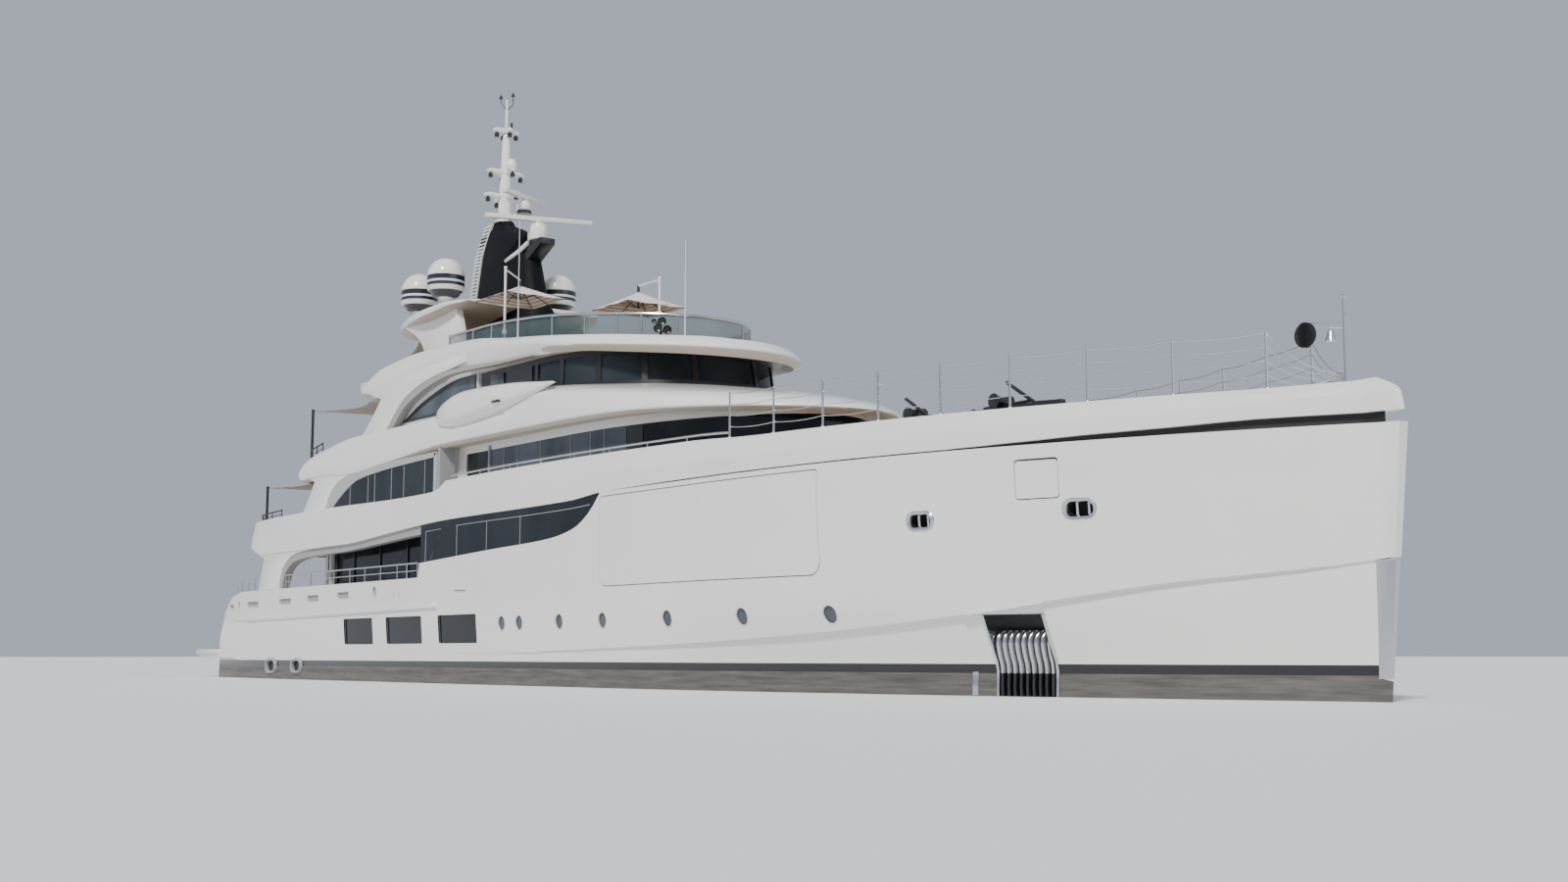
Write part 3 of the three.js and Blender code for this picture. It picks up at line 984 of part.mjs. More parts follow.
for (const { side, sign } of [{ side: "starboard", sign: -1 }, { side: "port", sign: 1 }]) {
  const prop = new THREE.Mesh(geometryOf(propeller()), BRONZE);
  prop.name = "propeller_" + side;
  prop.position.set(SHAFT.x, sign * SHAFT.y, SHAFT.z);
  const rudder = new THREE.Mesh(geometryOf(rudderBlade()), ANTIFOULING);
  rudder.name = "rudder_" + side;
  rudder.position.set(RUDDER.x, sign * RUDDER.y, RUDDER.head);
  yacht.add(prop, rudder);
}

yacht.scale.setScalar(MODEL_MM_PER_METRE);

export default yacht;
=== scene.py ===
"""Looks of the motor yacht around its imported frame. +X is forward, +Y port, +Z up, and z = 0 is the waterline.
Sizes below are the real yacht's, in metres; SCALE turns them into the model's."""
import json
import math

import bmesh
import bpy
import numpy as np
from mathutils import Matrix, Vector


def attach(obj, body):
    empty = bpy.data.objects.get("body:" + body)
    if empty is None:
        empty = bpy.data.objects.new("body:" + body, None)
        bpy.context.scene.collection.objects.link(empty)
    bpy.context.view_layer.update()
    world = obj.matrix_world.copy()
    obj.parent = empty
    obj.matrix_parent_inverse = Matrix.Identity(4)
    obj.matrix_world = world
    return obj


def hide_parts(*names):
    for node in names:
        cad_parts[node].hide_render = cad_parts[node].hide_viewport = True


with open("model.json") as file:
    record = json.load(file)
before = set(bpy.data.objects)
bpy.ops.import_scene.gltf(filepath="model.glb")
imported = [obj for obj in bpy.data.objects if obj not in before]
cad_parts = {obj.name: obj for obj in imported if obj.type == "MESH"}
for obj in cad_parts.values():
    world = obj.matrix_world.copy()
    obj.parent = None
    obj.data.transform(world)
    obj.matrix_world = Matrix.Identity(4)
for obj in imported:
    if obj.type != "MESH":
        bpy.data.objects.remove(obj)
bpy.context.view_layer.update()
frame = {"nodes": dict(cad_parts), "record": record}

SCALE = 0.5
scene = bpy.context.scene


def linked(name, data):
    """A new object in the scene."""
    made = bpy.data.objects.new(name, data)
    scene.collection.objects.link(made)
    return made


# Camera, light and sky
CAMERA_AT, CAMERA_PITCH, CAMERA_HEADING, CAMERA_LENS = (53.84, -33.95, 1.03), 6.906, 52.66, 40.5
SKY_COLOR, SKY_STRENGTH = (0.70, 0.78, 0.90, 1), 0.62
view = bpy.data.cameras.new("camera")
view.lens, view.sensor_width, view.clip_end = CAMERA_LENS, 36, 2000
camera = linked("camera", view)
camera.location = [SCALE * c for c in CAMERA_AT]
camera.rotation_euler = (math.radians(90 + CAMERA_PITCH), 0, math.radians(CAMERA_HEADING))
scene.camera = camera


def sun_light(name, direction, strength, softness, color):
    data = bpy.data.lights.new(name, "SUN")
    data.energy, data.angle, data.color = strength, math.radians(softness), color
    linked(name, data).rotation_euler = Vector(direction).to_track_quat("-Z", "Y").to_euler()


sun_light("key_light", (-0.40, 0.62, -0.72), 3.6, 8, (1.0, 0.965, 0.92))
sun_light("fill_light", (-0.9, -0.3, -0.35), 0.35, 40, (0.9, 0.94, 1.0))
world = bpy.data.worlds.new("studio")
world.use_nodes = True
world.node_tree.nodes["Background"].inputs["Color"].default_value = SKY_COLOR
world.node_tree.nodes["Background"].inputs["Strength"].default_value = SKY_STRENGTH
scene.world = world


# Materials
class Look:
    """A material in the making. Most calls add a node and return what it gives."""

    def __init__(self, name, color, roughness, metallic=0.0):
        self.made = bpy.data.materials.new(name)
        self.made.use_nodes = True
        self.shader = self.made.node_tree.nodes["Principled BSDF"]
        self.fill({"Base Color": color, "Roughness": roughness, "Metallic": metallic})

    def fill(self, values, node=None):
        """Inputs by name or number take a value, or a link from what another node gives. No node: the shader."""
        for key, value in values.items():
            socket = (node or self.shader).inputs[key]
            if isinstance(value, bpy.types.NodeSocket):
                self.made.node_tree.links.new(value, socket)
            else:
                socket.default_value = (*value, 1) if socket.type == "RGBA" else value

    def add(self, kind, gives, values, **settings):
        node = self.made.node_tree.nodes.new("ShaderNode" + kind)
        for key, value in settings.items():
            setattr(node, key, value)
        self.fill(values, node)
        return node.outputs[gives]

    def place(self, stretch=(1, 1, 1)):
        """Object coordinates, stretched along the axes."""
        return self.add("Mapping", "Vector", {"Vector": self.add("TexCoord", "Object", {}), "Scale": stretch})

    def part(self, vector, axis):
        return self.add("SeparateXYZ", axis, {"Vector": vector})

    def reckon(self, operation, *values):
        return self.add("Math", 0, dict(enumerate(values)), operation=operation)

    def noise(self, vector, scale, detail=4.0):
        return self.add("TexNoise", "Fac", {"Vector": vector, "Scale": scale, "Detail": detail, "Roughness": 0.55})

    def ramp(self, value, stops, sharp=False):
        """Colours by value; a single number stands for a grey."""
        gives = self.add("ValToRGB", "Color", {"Fac": value})
        band = gives.node.color_ramp
        band.interpolation = "CONSTANT" if sharp else "LINEAR"
        while len(band.elements) < len(stops):
            band.elements.new(0.5)
        for element, (position, color) in zip(band.elements, stops):
            element.position = position
            element.color = (*color, 1) if isinstance(color, tuple) else (color, color, color, 1)
        return gives

    def spread(self, value, low, high):
        return self.add("MapRange", "Result", {"Value": value, "To Min": low, "To Max": high})

    def mix(self, factor, a, b, blend_type="MIX"):
        return self.add("Mix", 2, {"Factor": factor, 6: a, 7: b}, data_type="RGBA", blend_type=blend_type)

    def bump(self, height, strength, distance):
        normal = self.add("Bump", "Normal", {"Height": height, "Strength": strength, "Distance": distance})
        self.fill({"Normal": normal})


def paint(name, low, high, roughness, coat=0.0, ripple=0.0):
    """Sprayed paint: slow colour drift, a little unevenness of gloss, and ripples or else fine orange peel."""
    look = Look(name, low, roughness)
    at = look.place()
    look.fill({"Base Color": look.ramp(look.noise(at, 0.35), [(0.3, low), (0.7, high)]),
               "Roughness": look.spread(look.noise(at, 2.5), roughness * 0.8, roughness * 1.3),
               "Coat Weight": coat, "Coat Roughness": 0.04})
    look.bump(look.noise(at, 0.9 if ripple else 60, 2), ripple or 0.05, 0.02 if ripple else 0.0005)
    return look.made


WHITE_LOW, WHITE_HIGH = (0.78, 0.765, 0.745), (0.84, 0.828, 0.81)
BOOT_FOOT_Z, BOOT_TOP_Z = 0.57, 0.8


def hull_paint():
    """White topsides, a black boot stripe and brown-grey antifouling, split by height."""
    look = Look("hull_paint", WHITE_LOW, 0.12)
    at = look.place()
    topsides = look.ramp(look.noise(at, 0.3), [(0.3, WHITE_LOW), (0.7, WHITE_HIGH)])
    streaks = look.noise(look.place((0.5, 0.5, 6)), 3, 6)
    bottom = look.ramp(streaks, [(0.3, (0.06, 0.053, 0.048)), (0.55, (0.105, 0.094, 0.086)),
                                 (0.8, (0.16, 0.148, 0.138))])
    height = look.part(at, "Z")

    def above(limit):
        return look.reckon("GREATER_THAN", height, limit * SCALE)

    stripe = look.mix(above(BOOT_FOOT_Z), bottom, (0.006, 0.006, 0.007))
    color = look.mix(above(BOOT_TOP_Z), stripe, topsides)
    dull, glossy = look.spread(streaks, 0.45, 0.7), look.spread(look.noise(at, 2.5), 0.09, 0.16)
    rough = look.add("Mix", 0, {"Factor": above(BOOT_FOOT_Z), 2: dull, 3: glossy})
    look.fill({"Base Color": color, "Roughness": rough, "Coat Weight": 0.35, "Coat Roughness": 0.04})
    look.bump(look.noise(at, 0.9, 2), 0.10, 0.02)
    return look.made


def glass(name, color, high, alpha=1.0):
    """Tinted glass, with a slow change of tint behind it."""
    look = Look(name, color, 0.03)
    at = look.place((1, 1, 0.4))
    look.fill({"Base Color": look.ramp(look.noise(at, 0.9, 3), [(0.35, color), (0.75, high)]),
               "Roughness": look.spread(look.noise(at, 3), 0.02, 0.06),
               "IOR": 1.45, "Specular IOR Level": 0.3, "Alpha": alpha})
    return look.made


def metal(name, color, roughness):
    """Brushed metal."""
    look = Look(name, color, roughness, 1.0)
    grain = look.noise(look.place((1, 1, 6)), 40, 3)
    look.fill({"Base Color": look.ramp(grain, [(0.2, tuple(c * 0.86 for c in color)), (0.8, color)]),
               "Roughness": look.spread(grain, roughness * 0.7, roughness * 1.4)})
    look.bump(grain, 0.08, 0.0005)
    return look.made


def woven(name, low, high, stripes=None):
    """Canvas with warp and weft; stripes run along the second texture coordinate."""
    look = Look(name, low, 0.85)
    at = look.place()
    color = look.ramp(look.noise(at, 1.6, 5), [(0.3, low), (0.7, high)])
    if stripes:
        along = look.part(look.add("TexCoord", "UV", {}), "Y")
        band = look.ramp(look.reckon("FRACT", along), [(0.0, 0), (0.56, 0), (0.6, 1), (0.97, 1)])
        color = look.mix(band, color, stripes)
    threads = [look.add("TexWave", "Fac", {"Vector": at, "Scale": 120}, bands_direction=axis) for axis in ("X", "Y")]
    look.fill({"Base Color": color, "Sheen Weight": 0.25})
    look.bump(look.reckon("MULTIPLY", *threads), 0.3, 0.001)
    return look.made


def teak_deck():
    """Planks along the deck, caulked black, each with its own tone and grain."""
    look = Look("teak", (0.36, 0.25, 0.15), 0.6)
    planks = look.add("TexBrick", "Color", {
        "Vector": look.place(), "Scale": 1.0, "Mortar Size": 0.0035, "Brick Width": 1.1, "Row Height": 0.05,
        "Mortar Smooth": 0.1, "Color1": (0.40, 0.29, 0.18), "Color2": (0.33, 0.235, 0.145),
        "Mortar": (0.02, 0.018, 0.016)}, offset=0.5)
    grain = look.ramp(look.noise(look.place((2, 40, 40)), 3, 6), [(0.3, 0.75), (0.7, 1.1)])
    look.fill({"Base Color": look.mix(1.0, planks, grain, "MULTIPLY")})
    look.bump(planks.node.outputs["Fac"], -0.4, 0.002)
    return look.made


def dome_paint():
    """White with two navy bands and a dark foot, by height from the dome's centre."""
    look = Look("dome_paint", WHITE_LOW, 0.2)
    at = look.place()
    reach = look.add("MapRange", "Result", {"Value": look.part(at, "Z"), "From Min": -0.9 * SCALE,
                                            "From Max": 0.1 * SCALE})
    navy, dark = (0.014, 0.02, 0.034), (0.02, 0.02, 0.022)
    bands = look.ramp(reach, [(0, dark), (0.29, WHITE_LOW), (0.48, navy), (0.61, WHITE_LOW), (0.7, navy),
                              (0.9, WHITE_LOW)], sharp=True)
    drift = look.ramp(look.noise(at, 2), [(0.3, 0.94), (0.7, 1.0)])
    look.fill({"Base Color": look.mix(1.0, bands, drift, "MULTIPLY"), "Coat Weight": 0.3})
    return look.made


WHITE = paint("white_paint", WHITE_LOW, WHITE_HIGH, 0.14, 0.35, 0.06)
HULL_PAINT = hull_paint()
BLACK = paint("black_paint", (0.012, 0.012, 0.014), (0.02, 0.02, 0.022), 0.28, 0.2)
# Painted shade: near-black for recesses, throats and gaps that lie in shade
SHADOW = paint("painted_recess_shade", (0.01, 0.01, 0.011), (0.016, 0.016, 0.017), 0.6)
TAN = paint("soffit_paint", (0.50, 0.43, 0.35), (0.56, 0.48, 0.40), 0.4)
GREY = paint("grey_paint", (0.30, 0.31, 0.32), (0.37, 0.38, 0.39), 0.35)
MAST_BLACK = paint("mast_paint", (0.006, 0.0065, 0.008), (0.01, 0.011, 0.013), 0.5)
MAST_BLACK.node_tree.nodes["Principled BSDF"].inputs["Specular IOR Level"].default_value = 0.07
# Painted shade: grey for the shadowed strips under the deck edges and along the legs of the side openings
ARCH_SHADE = paint("painted_arch_shade", (0.30, 0.29, 0.275), (0.36, 0.35, 0.33), 0.35, 0.1)
FRAME_GREY = paint("frame_paint", (0.36, 0.37, 0.38), (0.42, 0.43, 0.44), 0.3, 0.1)
PALE = paint("pale_paint", (0.62, 0.62, 0.61), (0.70, 0.70, 0.69), 0.3, 0.1)
DOME_PAINT = dome_paint()
ANTIFOULING = paint("antifouling", (0.07, 0.062, 0.056), (0.12, 0.108, 0.1), 0.6)
GLASS = glass("dark_glass", (0.006, 0.008, 0.011), (0.02, 0.025, 0.033))
# Painted reflection: a paler bluish glass colour for the sky mirrored in the portholes, the long belt pane, the bridge
# doors and the lounge windows
PAINTED_REFLECTION_GLASS = glass("glass_painted_reflection", (0.05, 0.06, 0.075), (0.13, 0.15, 0.18))
PANE = glass("wheelhouse_pane", (0.02, 0.028, 0.034), (0.05, 0.062, 0.07), 0.72)
CLEAR = glass("clear_glass", (0.10, 0.15, 0.16), (0.15, 0.20, 0.21), 0.38)
STEEL = metal("stainless_steel", (0.66, 0.67, 0.69), 0.2)
DARK_STEEL = metal("dark_steel", (0.08, 0.08, 0.09), 0.35)
BRONZE = metal("bronze", (0.55, 0.36, 0.16), 0.3)
CANVAS = woven("canvas", (0.42, 0.335, 0.26), (0.50, 0.41, 0.32))
STRIPED = woven("striped_canvas", (0.60, 0.47, 0.37), (0.68, 0.55, 0.44), (0.94, 0.93, 0.91))
TEAK = teak_deck()

# The materials of each slot. The first is also the finish of solids that keep their shape from the frame
SLOTS = {
    "white_paint": (WHITE, HULL_PAINT, TAN, GREY, ARCH_SHADE, FRAME_GREY, PALE, DOME_PAINT),
    "black_paint": (BLACK, SHADOW, MAST_BLACK),
    "antifouling": (ANTIFOULING,),
    "dark_glass": (GLASS, PAINTED_REFLECTION_GLASS),
    "clear_glass": (CLEAR, PANE),
    "stainless_steel": (STEEL, DARK_STEEL),
    "bronze": (BRONZE,),
    "canvas": (CANVAS, STRIPED),
    "teak": (TEAK,),
}

FLOOR_HALF = 400
floor_mesh = bpy.data.meshes.new("floor")
floor_mesh.from_pydata([(a * FLOOR_HALF, b * FLOOR_HALF, 0) for a, b in ((-1, -1), (1, -1), (1, 1), (-1, 1))], [],
                       [(0, 1, 2, 3)])
floor = linked("floor", floor_mesh)
floor_look = Look("floor", (0.78, 0.79, 0.80), 0.7)
floor_look.fill({"Specular IOR Level": 0.2})
floor_mesh.materials.append(floor_look.made)


# Meshes
def span(first, last, count):
    return [first + (last - first) * i / count for i in range(count + 1)]


def turns(count):
    """Angles evenly round a circle."""
    return span(0, 2 * math.pi, count)[:-1]


def raw(name, verts, faces):
    mesh = bpy.data.meshes.new(name)
    mesh.from_pydata([tuple(SCALE * c for c in v) for v in verts], [], faces)
    body = bmesh.new()
    body.from_mesh(mesh)
    bmesh.ops.remove_doubles(body, verts=body.verts, dist=1e-5)
    bmesh.ops.recalc_face_normals(body, faces=body.faces)
    body.to_mesh(mesh)
    body.free()
    return linked(name, mesh)


def loft(name, rings, mirror=False):
    """A closed solid through rings of equally many points. With mirror, each ring is a starboard side and then the
    same side to port, backwards, and the ends close across."""
    n = len(rings[0])
    last = (len(rings) - 1) * n
    faces = [(r + i, r + (i + 1) % n, r + n + (i + 1) % n, r + n + i) for r in range(0, last, n) for i in range(n)]
    if mirror:
        for base in (0, last):
            faces += [(base + i, base + i + 1, base + n - 2 - i, base + n - 1 - i) for i in range(n // 2 - 1)]
    else:
        faces += [tuple(range(n)), tuple(range(last + n - 1, last - 1, -1))]
    return raw(name, [p for ring in rings for p in ring], faces)


def side_plate(name, outline, y0, y1):
    return loft(name, [[(x, y, z) for x, z in outline] for y in (y0, y1)])


def block(name, x0, x1, y0, y1, z0, z1):
    return loft(name, [[(x0, y0, z), (x1, y0, z), (x1, y1, z), (x0, y1, z)] for z in (z0, z1)])


def tube(name, points, radius, sides=8):
    """A round bar through points, mitred at each. The radius is one number, or one for each point."""
    points = [Vector(p) for p in points]
    rings = []
    for i, p in enumerate(points):
        before = (p - points[i - 1]).normalized() if i else None
        after = (points[i + 1] - p).normalized() if i + 1 < len(points) else None
        along = ((before or after) + (after or before)).normalized()
        up = Vector((0, 0, 1)) if abs(along.z) < 0.9 else Vector((1, 0, 0))
        u = along.cross(up).normalized()
        v = u.cross(along).normalized()
        r = radius[i] if hasattr(radius, "__len__") else radius
        if before and after:
            r = r / max(math.cos(before.angle(after, 0) / 2), 0.6)
        rings.append([tuple(p + r * (math.cos(a) * u + math.sin(a) * v)) for a in turns(sides)])
    return loft(name, rings)


def upright(x, y, foot, top, radius, sides=8):
    return tube("upright", [(x, y, foot), (x, y, top)], radius, sides)


def turned(name, profile, x=0.0, y=0.0, segments=48):
    """A body turned round an upright axis, from (radius, z) points."""
    rings = [[(x + max(r, 0.001) * math.cos(a), y + max(r, 0.001) * math.sin(a), z) for a in turns(segments)]
             for r, z in profile]
    return loft(name, rings)


def moved(made, at, turn=0.0, axis="Z"):
    """The same body, turned by degrees about an axis through the origin and then carried to a place."""
    made.data.transform(Matrix.Translation([SCALE * c for c in at]) @ Matrix.Rotation(math.radians(turn), 4, axis))
    return made


def mirrored(made):
    mesh = made.data.copy()
    mesh.transform(Matrix.Diagonal((1, -1, 1, 1)))
    mesh.flip_normals()
    return linked(made.name + "_other", mesh)


def bake(made):
    """Modifiers become part of the mesh."""
    graph = bpy.context.evaluated_depsgraph_get()
    mesh = bpy.data.meshes.new_from_object(made.evaluated_get(graph))
    made.modifiers.clear()
    made.data = mesh


def combine(made, tools, operation):
    for tool in tools:
        modifier = made.modifiers.new("boolean", "BOOLEAN")
        modifier.operation = operation
        modifier.solver = "MANIFOLD"
        modifier.object = tool
    bake(made)
    for tool in tools:
        bpy.data.objects.remove(tool)
    return made


def cut(made, *tools):
    return combine(made, tools, "DIFFERENCE")


def join(made, *tools):
    return combine(made, tools, "UNION")


def merged(name, parts):
    """Loose parts as one mesh."""
    body = bmesh.new()
    for part in parts:
        body.from_mesh(part.data)
        bpy.data.objects.remove(part)
    mesh = bpy.data.meshes.new(name)
    body.to_mesh(mesh)
    body.free()
    return linked(name, mesh)


def finish(made, name, finish_material, body="yacht", replaces=(), sharp=32, bevel=0.0, under=None):
    """The last step for a piece: its name, edges, material and body. A list of parts becomes one mesh first, and
    `under` colours what faces down."""
    made = merged(name, made) if isinstance(made, list) else made
    made.name = name
    if bevel:
        modifier = made.modifiers.new("bevel", "BEVEL")
        modifier.width = bevel * SCALE
        modifier.segments = 2
        modifier.angle_limit = math.radians(40)
        modifier.harden_normals = False
        bake(made)
    mesh = made.data
    mesh.materials.clear()
    mesh.materials.append(finish_material)
    if under:
        mesh.materials.append(under)
        for face in mesh.polygons:
            face.material_index = 1 if face.normal.z < -0.6 else 0
    mesh.shade_smooth()
    mesh.set_sharp_from_angle(angle=math.radians(sharp))
    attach(made, body)
    if replaces:
        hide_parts(*replaces)
    return made


def pair(starboard):
    return [starboard, mirrored(starboard)]


def both(name, made, finish_material, body="yacht", replaces=(), **options):
    """The starboard piece and its twin to port. {} stands for the side, which else comes last in the name."""
    made = merged(name, made) if isinstance(made, list) else made
    name = name if "{}" in name else name + "_{}"
    return [finish(part, name.format(side), finish_material, body.format(side),
                   [node.format(side) for node in replaces], **options)
            for part, side in zip(pair(made), ("starboard", "port"))]


# Curves
def blend(t, a, b, leaving, arriving, step=1.0):
    """A place from a to b, on the cubic that has these slopes at its ends."""
    return ((1 + 2 * t) * (1 - t) ** 2 * a + t * (1 - t) ** 2 * step * leaving
            + t * t * (3 - 2 * t) * b + t * t * (t - 1) * step * arriving)


def tangents(step, values):
    """Slopes at the values which let no curve through them overshoot."""
    slope = np.diff(values, axis=0) / step.reshape(-1, *[1] * (values.ndim - 1))
    made = np.concatenate([slope[:1], np.zeros_like(values[1:-1]), slope[-1:]])
    for i in range(1, len(step)):
        a, b = 2 * step[i] + step[i - 1], step[i] + 2 * step[i - 1]
        with np.errstate(divide="ignore", invalid="ignore"):
            made[i] = np.where(slope[i - 1] * slope[i] > 0, (a + b) / (a / slope[i - 1] + b / slope[i]), 0)
    return made


def curve(rows):
    """A smooth line through (at, value) rows that never overshoots them."""
    xs, ys = (np.array(c, float) for c in zip(*rows))
    step = np.diff(xs)
    tangent = tangents(step, ys)

    def at(x):
        x = min(max(x, xs[0]), xs[-1])
        i = min(int(np.searchsorted(xs, x, "right")) - 1, len(xs) - 2)
        return float(blend((x - xs[i]) / step[i], ys[i], ys[i + 1], tangent[i], tangent[i + 1], step[i]))
    return at


def rounded(rings, steps):
    """More rings between the given ones, on smooth curves through them."""
    rings = np.array(rings, float)
    gaps = np.linalg.norm(np.diff(rings, axis=0), axis=2).mean(1)
    step = np.diff(np.concatenate([[0], np.cumsum(np.maximum(gaps, 1e-3))]))
    tangent = tangents(step, rings)
    made = [blend(k / steps, rings[i], rings[i + 1], tangent[i], tangent[i + 1], step[i])
            for i in range(len(step)) for k in range(steps)]
    return [[tuple(p) for p in ring] for ring in made + [rings[-1]]]


# Hull form: half-breadth at a place along and a height
HALF_BEAM, WATER_HALF_BEAM, DRAUGHT, STEM_X, STEM_RAKE = 5.1, 4.97, 3.1, 31.1, 0.094
PORTHOLE_Z, HULL_TOP_Z = 2.1, 6.1
MAIN_FLOOR_Z, UPPER_FLOOR_Z, BRIDGE_FLOOR_Z, SUN_FLOOR_Z = 3.15, 6.3, 8.95, 11.55
KNUCKLE = curve([(-28, 1.02), (0, 1.05), (3.2, 1.13), (10.5, 1.32), (16.4, 1.59), (21.8, 2.05), (23.5, 2.27),
                 (26.9, 2.7), (28.9, 2.87), (31.4, 3.14)])
KNUCKLE_STEP = curve([(-2, 0.004), (10, 0.09), (24, 0.14), (29, 0.1), (31.2, 0.03)])
KEEL = curve([(-28.2, -0.55), (-20, -1.35), (-8, -2.9), (0, -DRAUGHT), (24, -DRAUGHT), (28.5, -2.75), (31, -1.9)])
BILGE = curve([(0, 0.03), (0.06, 0.42), (0.22, 0.74), (0.55, 0.93), (1, 1)])


def stem_x(z, forefoot=-1.2):
    return STEM_X + STEM_RAKE * max(z, forefoot)


def quarter(x, start=-20, length=8.2, depth=0.42):
    """How far the side draws in over the quarter."""
    return depth * ((start - x) / length) ** 2 if x < start else 0


def fined(half, start, length, power):
    """A half-breadth that stays level up to a start and falls to nothing over the length ahead of it."""
    return lambda x: half * (1 - min((x - start) / length, 1) ** power if x > start else 1)


water_half = fined(WATER_HALF_BEAM, 6, 25, 1.9)
port_half = fined(HALF_BEAM, 9.5, 21.6, 2)
top_half = fined(HALF_BEAM, 12, 19.1, 2.2)


def half_breadth(x, z):
    """The side above the water: one curve through the breadths at the boot top, the portholes and the sheer."""
    low, mid, high = water_half(x), port_half(x), top_half(x)
    z = max(z, 0)
    a, b, c = BOOT_TOP_Z, PORTHOLE_Z, HULL_TOP_Z
    straight = np.interp(z, [a, b, c], [low, mid, high])
    bent = (low * (z - b) * (z - c) / ((a - b) * (a - c)) + mid * (z - a) * (z - c) / ((b - a) * (b - c))
            + high * (z - a) * (z - b) / ((c - a) * (c - b)))
    flare = straight + 0.6 * (bent - straight) * min(max(z - 0.3, 0), 1)
    under = KNUCKLE_STEP(x) if z < KNUCKLE(x) else 0
    blunt = 0.2 * math.sqrt(max(stem_x(z) - x, 0) + 0.02)
    return max(flare - under - quarter(x), blunt - under, 0.02)


def hull_side(x):
    keel, knuckle = KEEL(x), KNUCKLE(x)
    full = 1 if x < 4 else max(1 - ((x - 4) / 27) ** 1.6, 0.02)
    at_water = half_breadth(x, 0)
    rows = [(max(at_water * BILGE(u) ** (1 + 1.6 * (1 - full)), 0.03), keel * (1 - u))
            for u in (0, 0.02, 0.06, 0.12, 0.2, 0.3, 0.42, 0.55, 0.7, 0.85)]
    heights = span(0, knuckle - 0.02, 8) + span(knuckle + 0.02, HULL_TOP_Z, 18)
    return rows + [(half_breadth(x, z), z) for z in heights]


def hull_body(name, grown=0.0):
    xs = span(-28.2, 20, 70)[:-1] + span(20, 29, 26)[:-1] + span(29, 31.1, 14)
    rings = []
    for x in xs:
        shear = max(0, (x - 24) / 7.1)
        side = [(x + (stem_x(z) - STEM_X) * shear + grown * shear, half + grown, z) for half, z in hull_side(x)]
        rings.append([(a, -b, z) for a, b, z in side] + [(a, b, z) for a, b, z in side[::-1]])
    return loft(name, rings, mirror=True)


def trim(radius, into):
    """What a rounded corner takes off the height, at some way in from its end."""
    return radius - math.sqrt(max(radius * radius - max(radius - into, 0) ** 2, 0))


def skin_slab(name, x0, x1, z0, z1, inner, outer, corner=(0, 0), pitch=0.25, rows=10, lean=0.0):
    """A slab inside the starboard skin, its foot and head corners rounded, its fore edge leaning aft inside."""
    bends = [e + s * max(corner) * (1 - math.cos(t)) for e, s in ((x0, 1), (x1, -1)) for t in span(0, math.pi / 2, 6)]
    xs = sorted(set(span(x0, x1, max(int((x1 - x0) / pitch), 2)) + bends))
    xs = [x for i, x in enumerate(xs) if i == 0 or x - xs[i - 1] > 1e-4]
    rings = []
    for x in xs:
        into = min(x - x0, x1 - x)
        heights = span(z0 + trim(corner[0], into), z1 - trim(corner[1], into), rows)
        within = x - lean * (x - x0) / (x1 - x0)
        rings.append([(x, -(half_breadth(x, z) - outer), z) for z in heights]
                     + [(within, -(half_breadth(within, z) - inner), z) for z in heights[::-1]])
    return loft(name, rings)


SHEER_AFT = curve([(-28.05, 0.8), (-27.9, 1.6), (-27.3, 2.3), (-26.5, 3.2), (-25.35, 3.7), (-24, 3.83), (-6.2, 3.85)])
SHEER_FORE = curve([(-6.1, 4.38), (-0.7, 4.62), (3.3, 4.78), (4.9, 5.02), (5.9, 5.5), (6.45, 6.03)])
GLASS_TOP = curve([(-6.12, 5.76), (-4.3, 5.845), (4.6, 5.935), (6.42, 6.02)])
DOOR = dict(x0=6.55, x1=17.1, z0=3.15, z1=5.93)
HATCH = dict(x0=23.212, x1=24.288, z0=4.792, z1=5.708)
POCKET = dict(x0=21.75, x1=23.45, z0=-0.75, z1=2.02)
SEAM, HATCH_HEAD, HATCH_INSET = 0.03, 0.045, 0.022
DOOR_CORNER, HATCH_CORNER = (0.45, 0.12), (0.08, 0.08)

# Openings in the side: middle along, middle height, width, height and corner radius
PORTHOLES = [(x, 2.09, 0.5, 0.5, 0.25) for x in (0.23, 1.44, 4.08, 6.73, 10.34, 13.81, 17.18)]
LOW_WINDOWS = [((a + b) / 2, 1.935, b - a, 1.01, 0.04) for a, b in ((-12.83, -10.15), (-8.92, -5.9), (-4.55, -1.62))]
FREEING_PORTS = [(-25.75, 3.2, 0.7, 0.2, 0.1), (-24.65, 3.24, 0.34, 0.4, 0.17), (-22.74, 3.24, 1.5, 0.25, 0.06),
                 (-18.9, 3.28, 1.3, 0.25, 0.05), (-15.95, 3.34, 1.2, 0.27, 0.05), (-12.9, 3.38, 1.14, 0.27, 0.05),
                 (-9.95, 3.43, 0.36, 0.44, 0.18), (-8.2, 3.27, 0.12, 0.12, 0.06), (-7.77, 3.27, 0.12, 0.12, 0.06),
                 (-2.83, 3.28, 0.9, 0.06, 0.02)]
EXHAUSTS = [(-20.64, 0.56, 0.95, 0.46, 0.2), (-17.81, 0.57, 0.9, 0.44, 0.2)]
FAIRLEADS = [(20.5, 4.385, 0.73, 0.39, 0.19), (24.78, 4.48, 0.76, 0.42, 0.2)]


def outline(at, grow=0.0, steps=6):
    """A rounded oblong in side view, grown by so much all round."""
    x, z, width, height, corner = at
    r = corner + grow
    long, tall = max(width / 2 - corner, 0.001), max(height / 2 - corner, 0.001)
    return [(x + a * long + r * math.cos(t), z + b * tall + r * math.sin(t))
            for k, (a, b) in enumerate(((1, 1), (-1, 1), (-1, -1), (1, -1)))
            for t in span(k * math.pi / 2, (k + 1) * math.pi / 2, steps)]


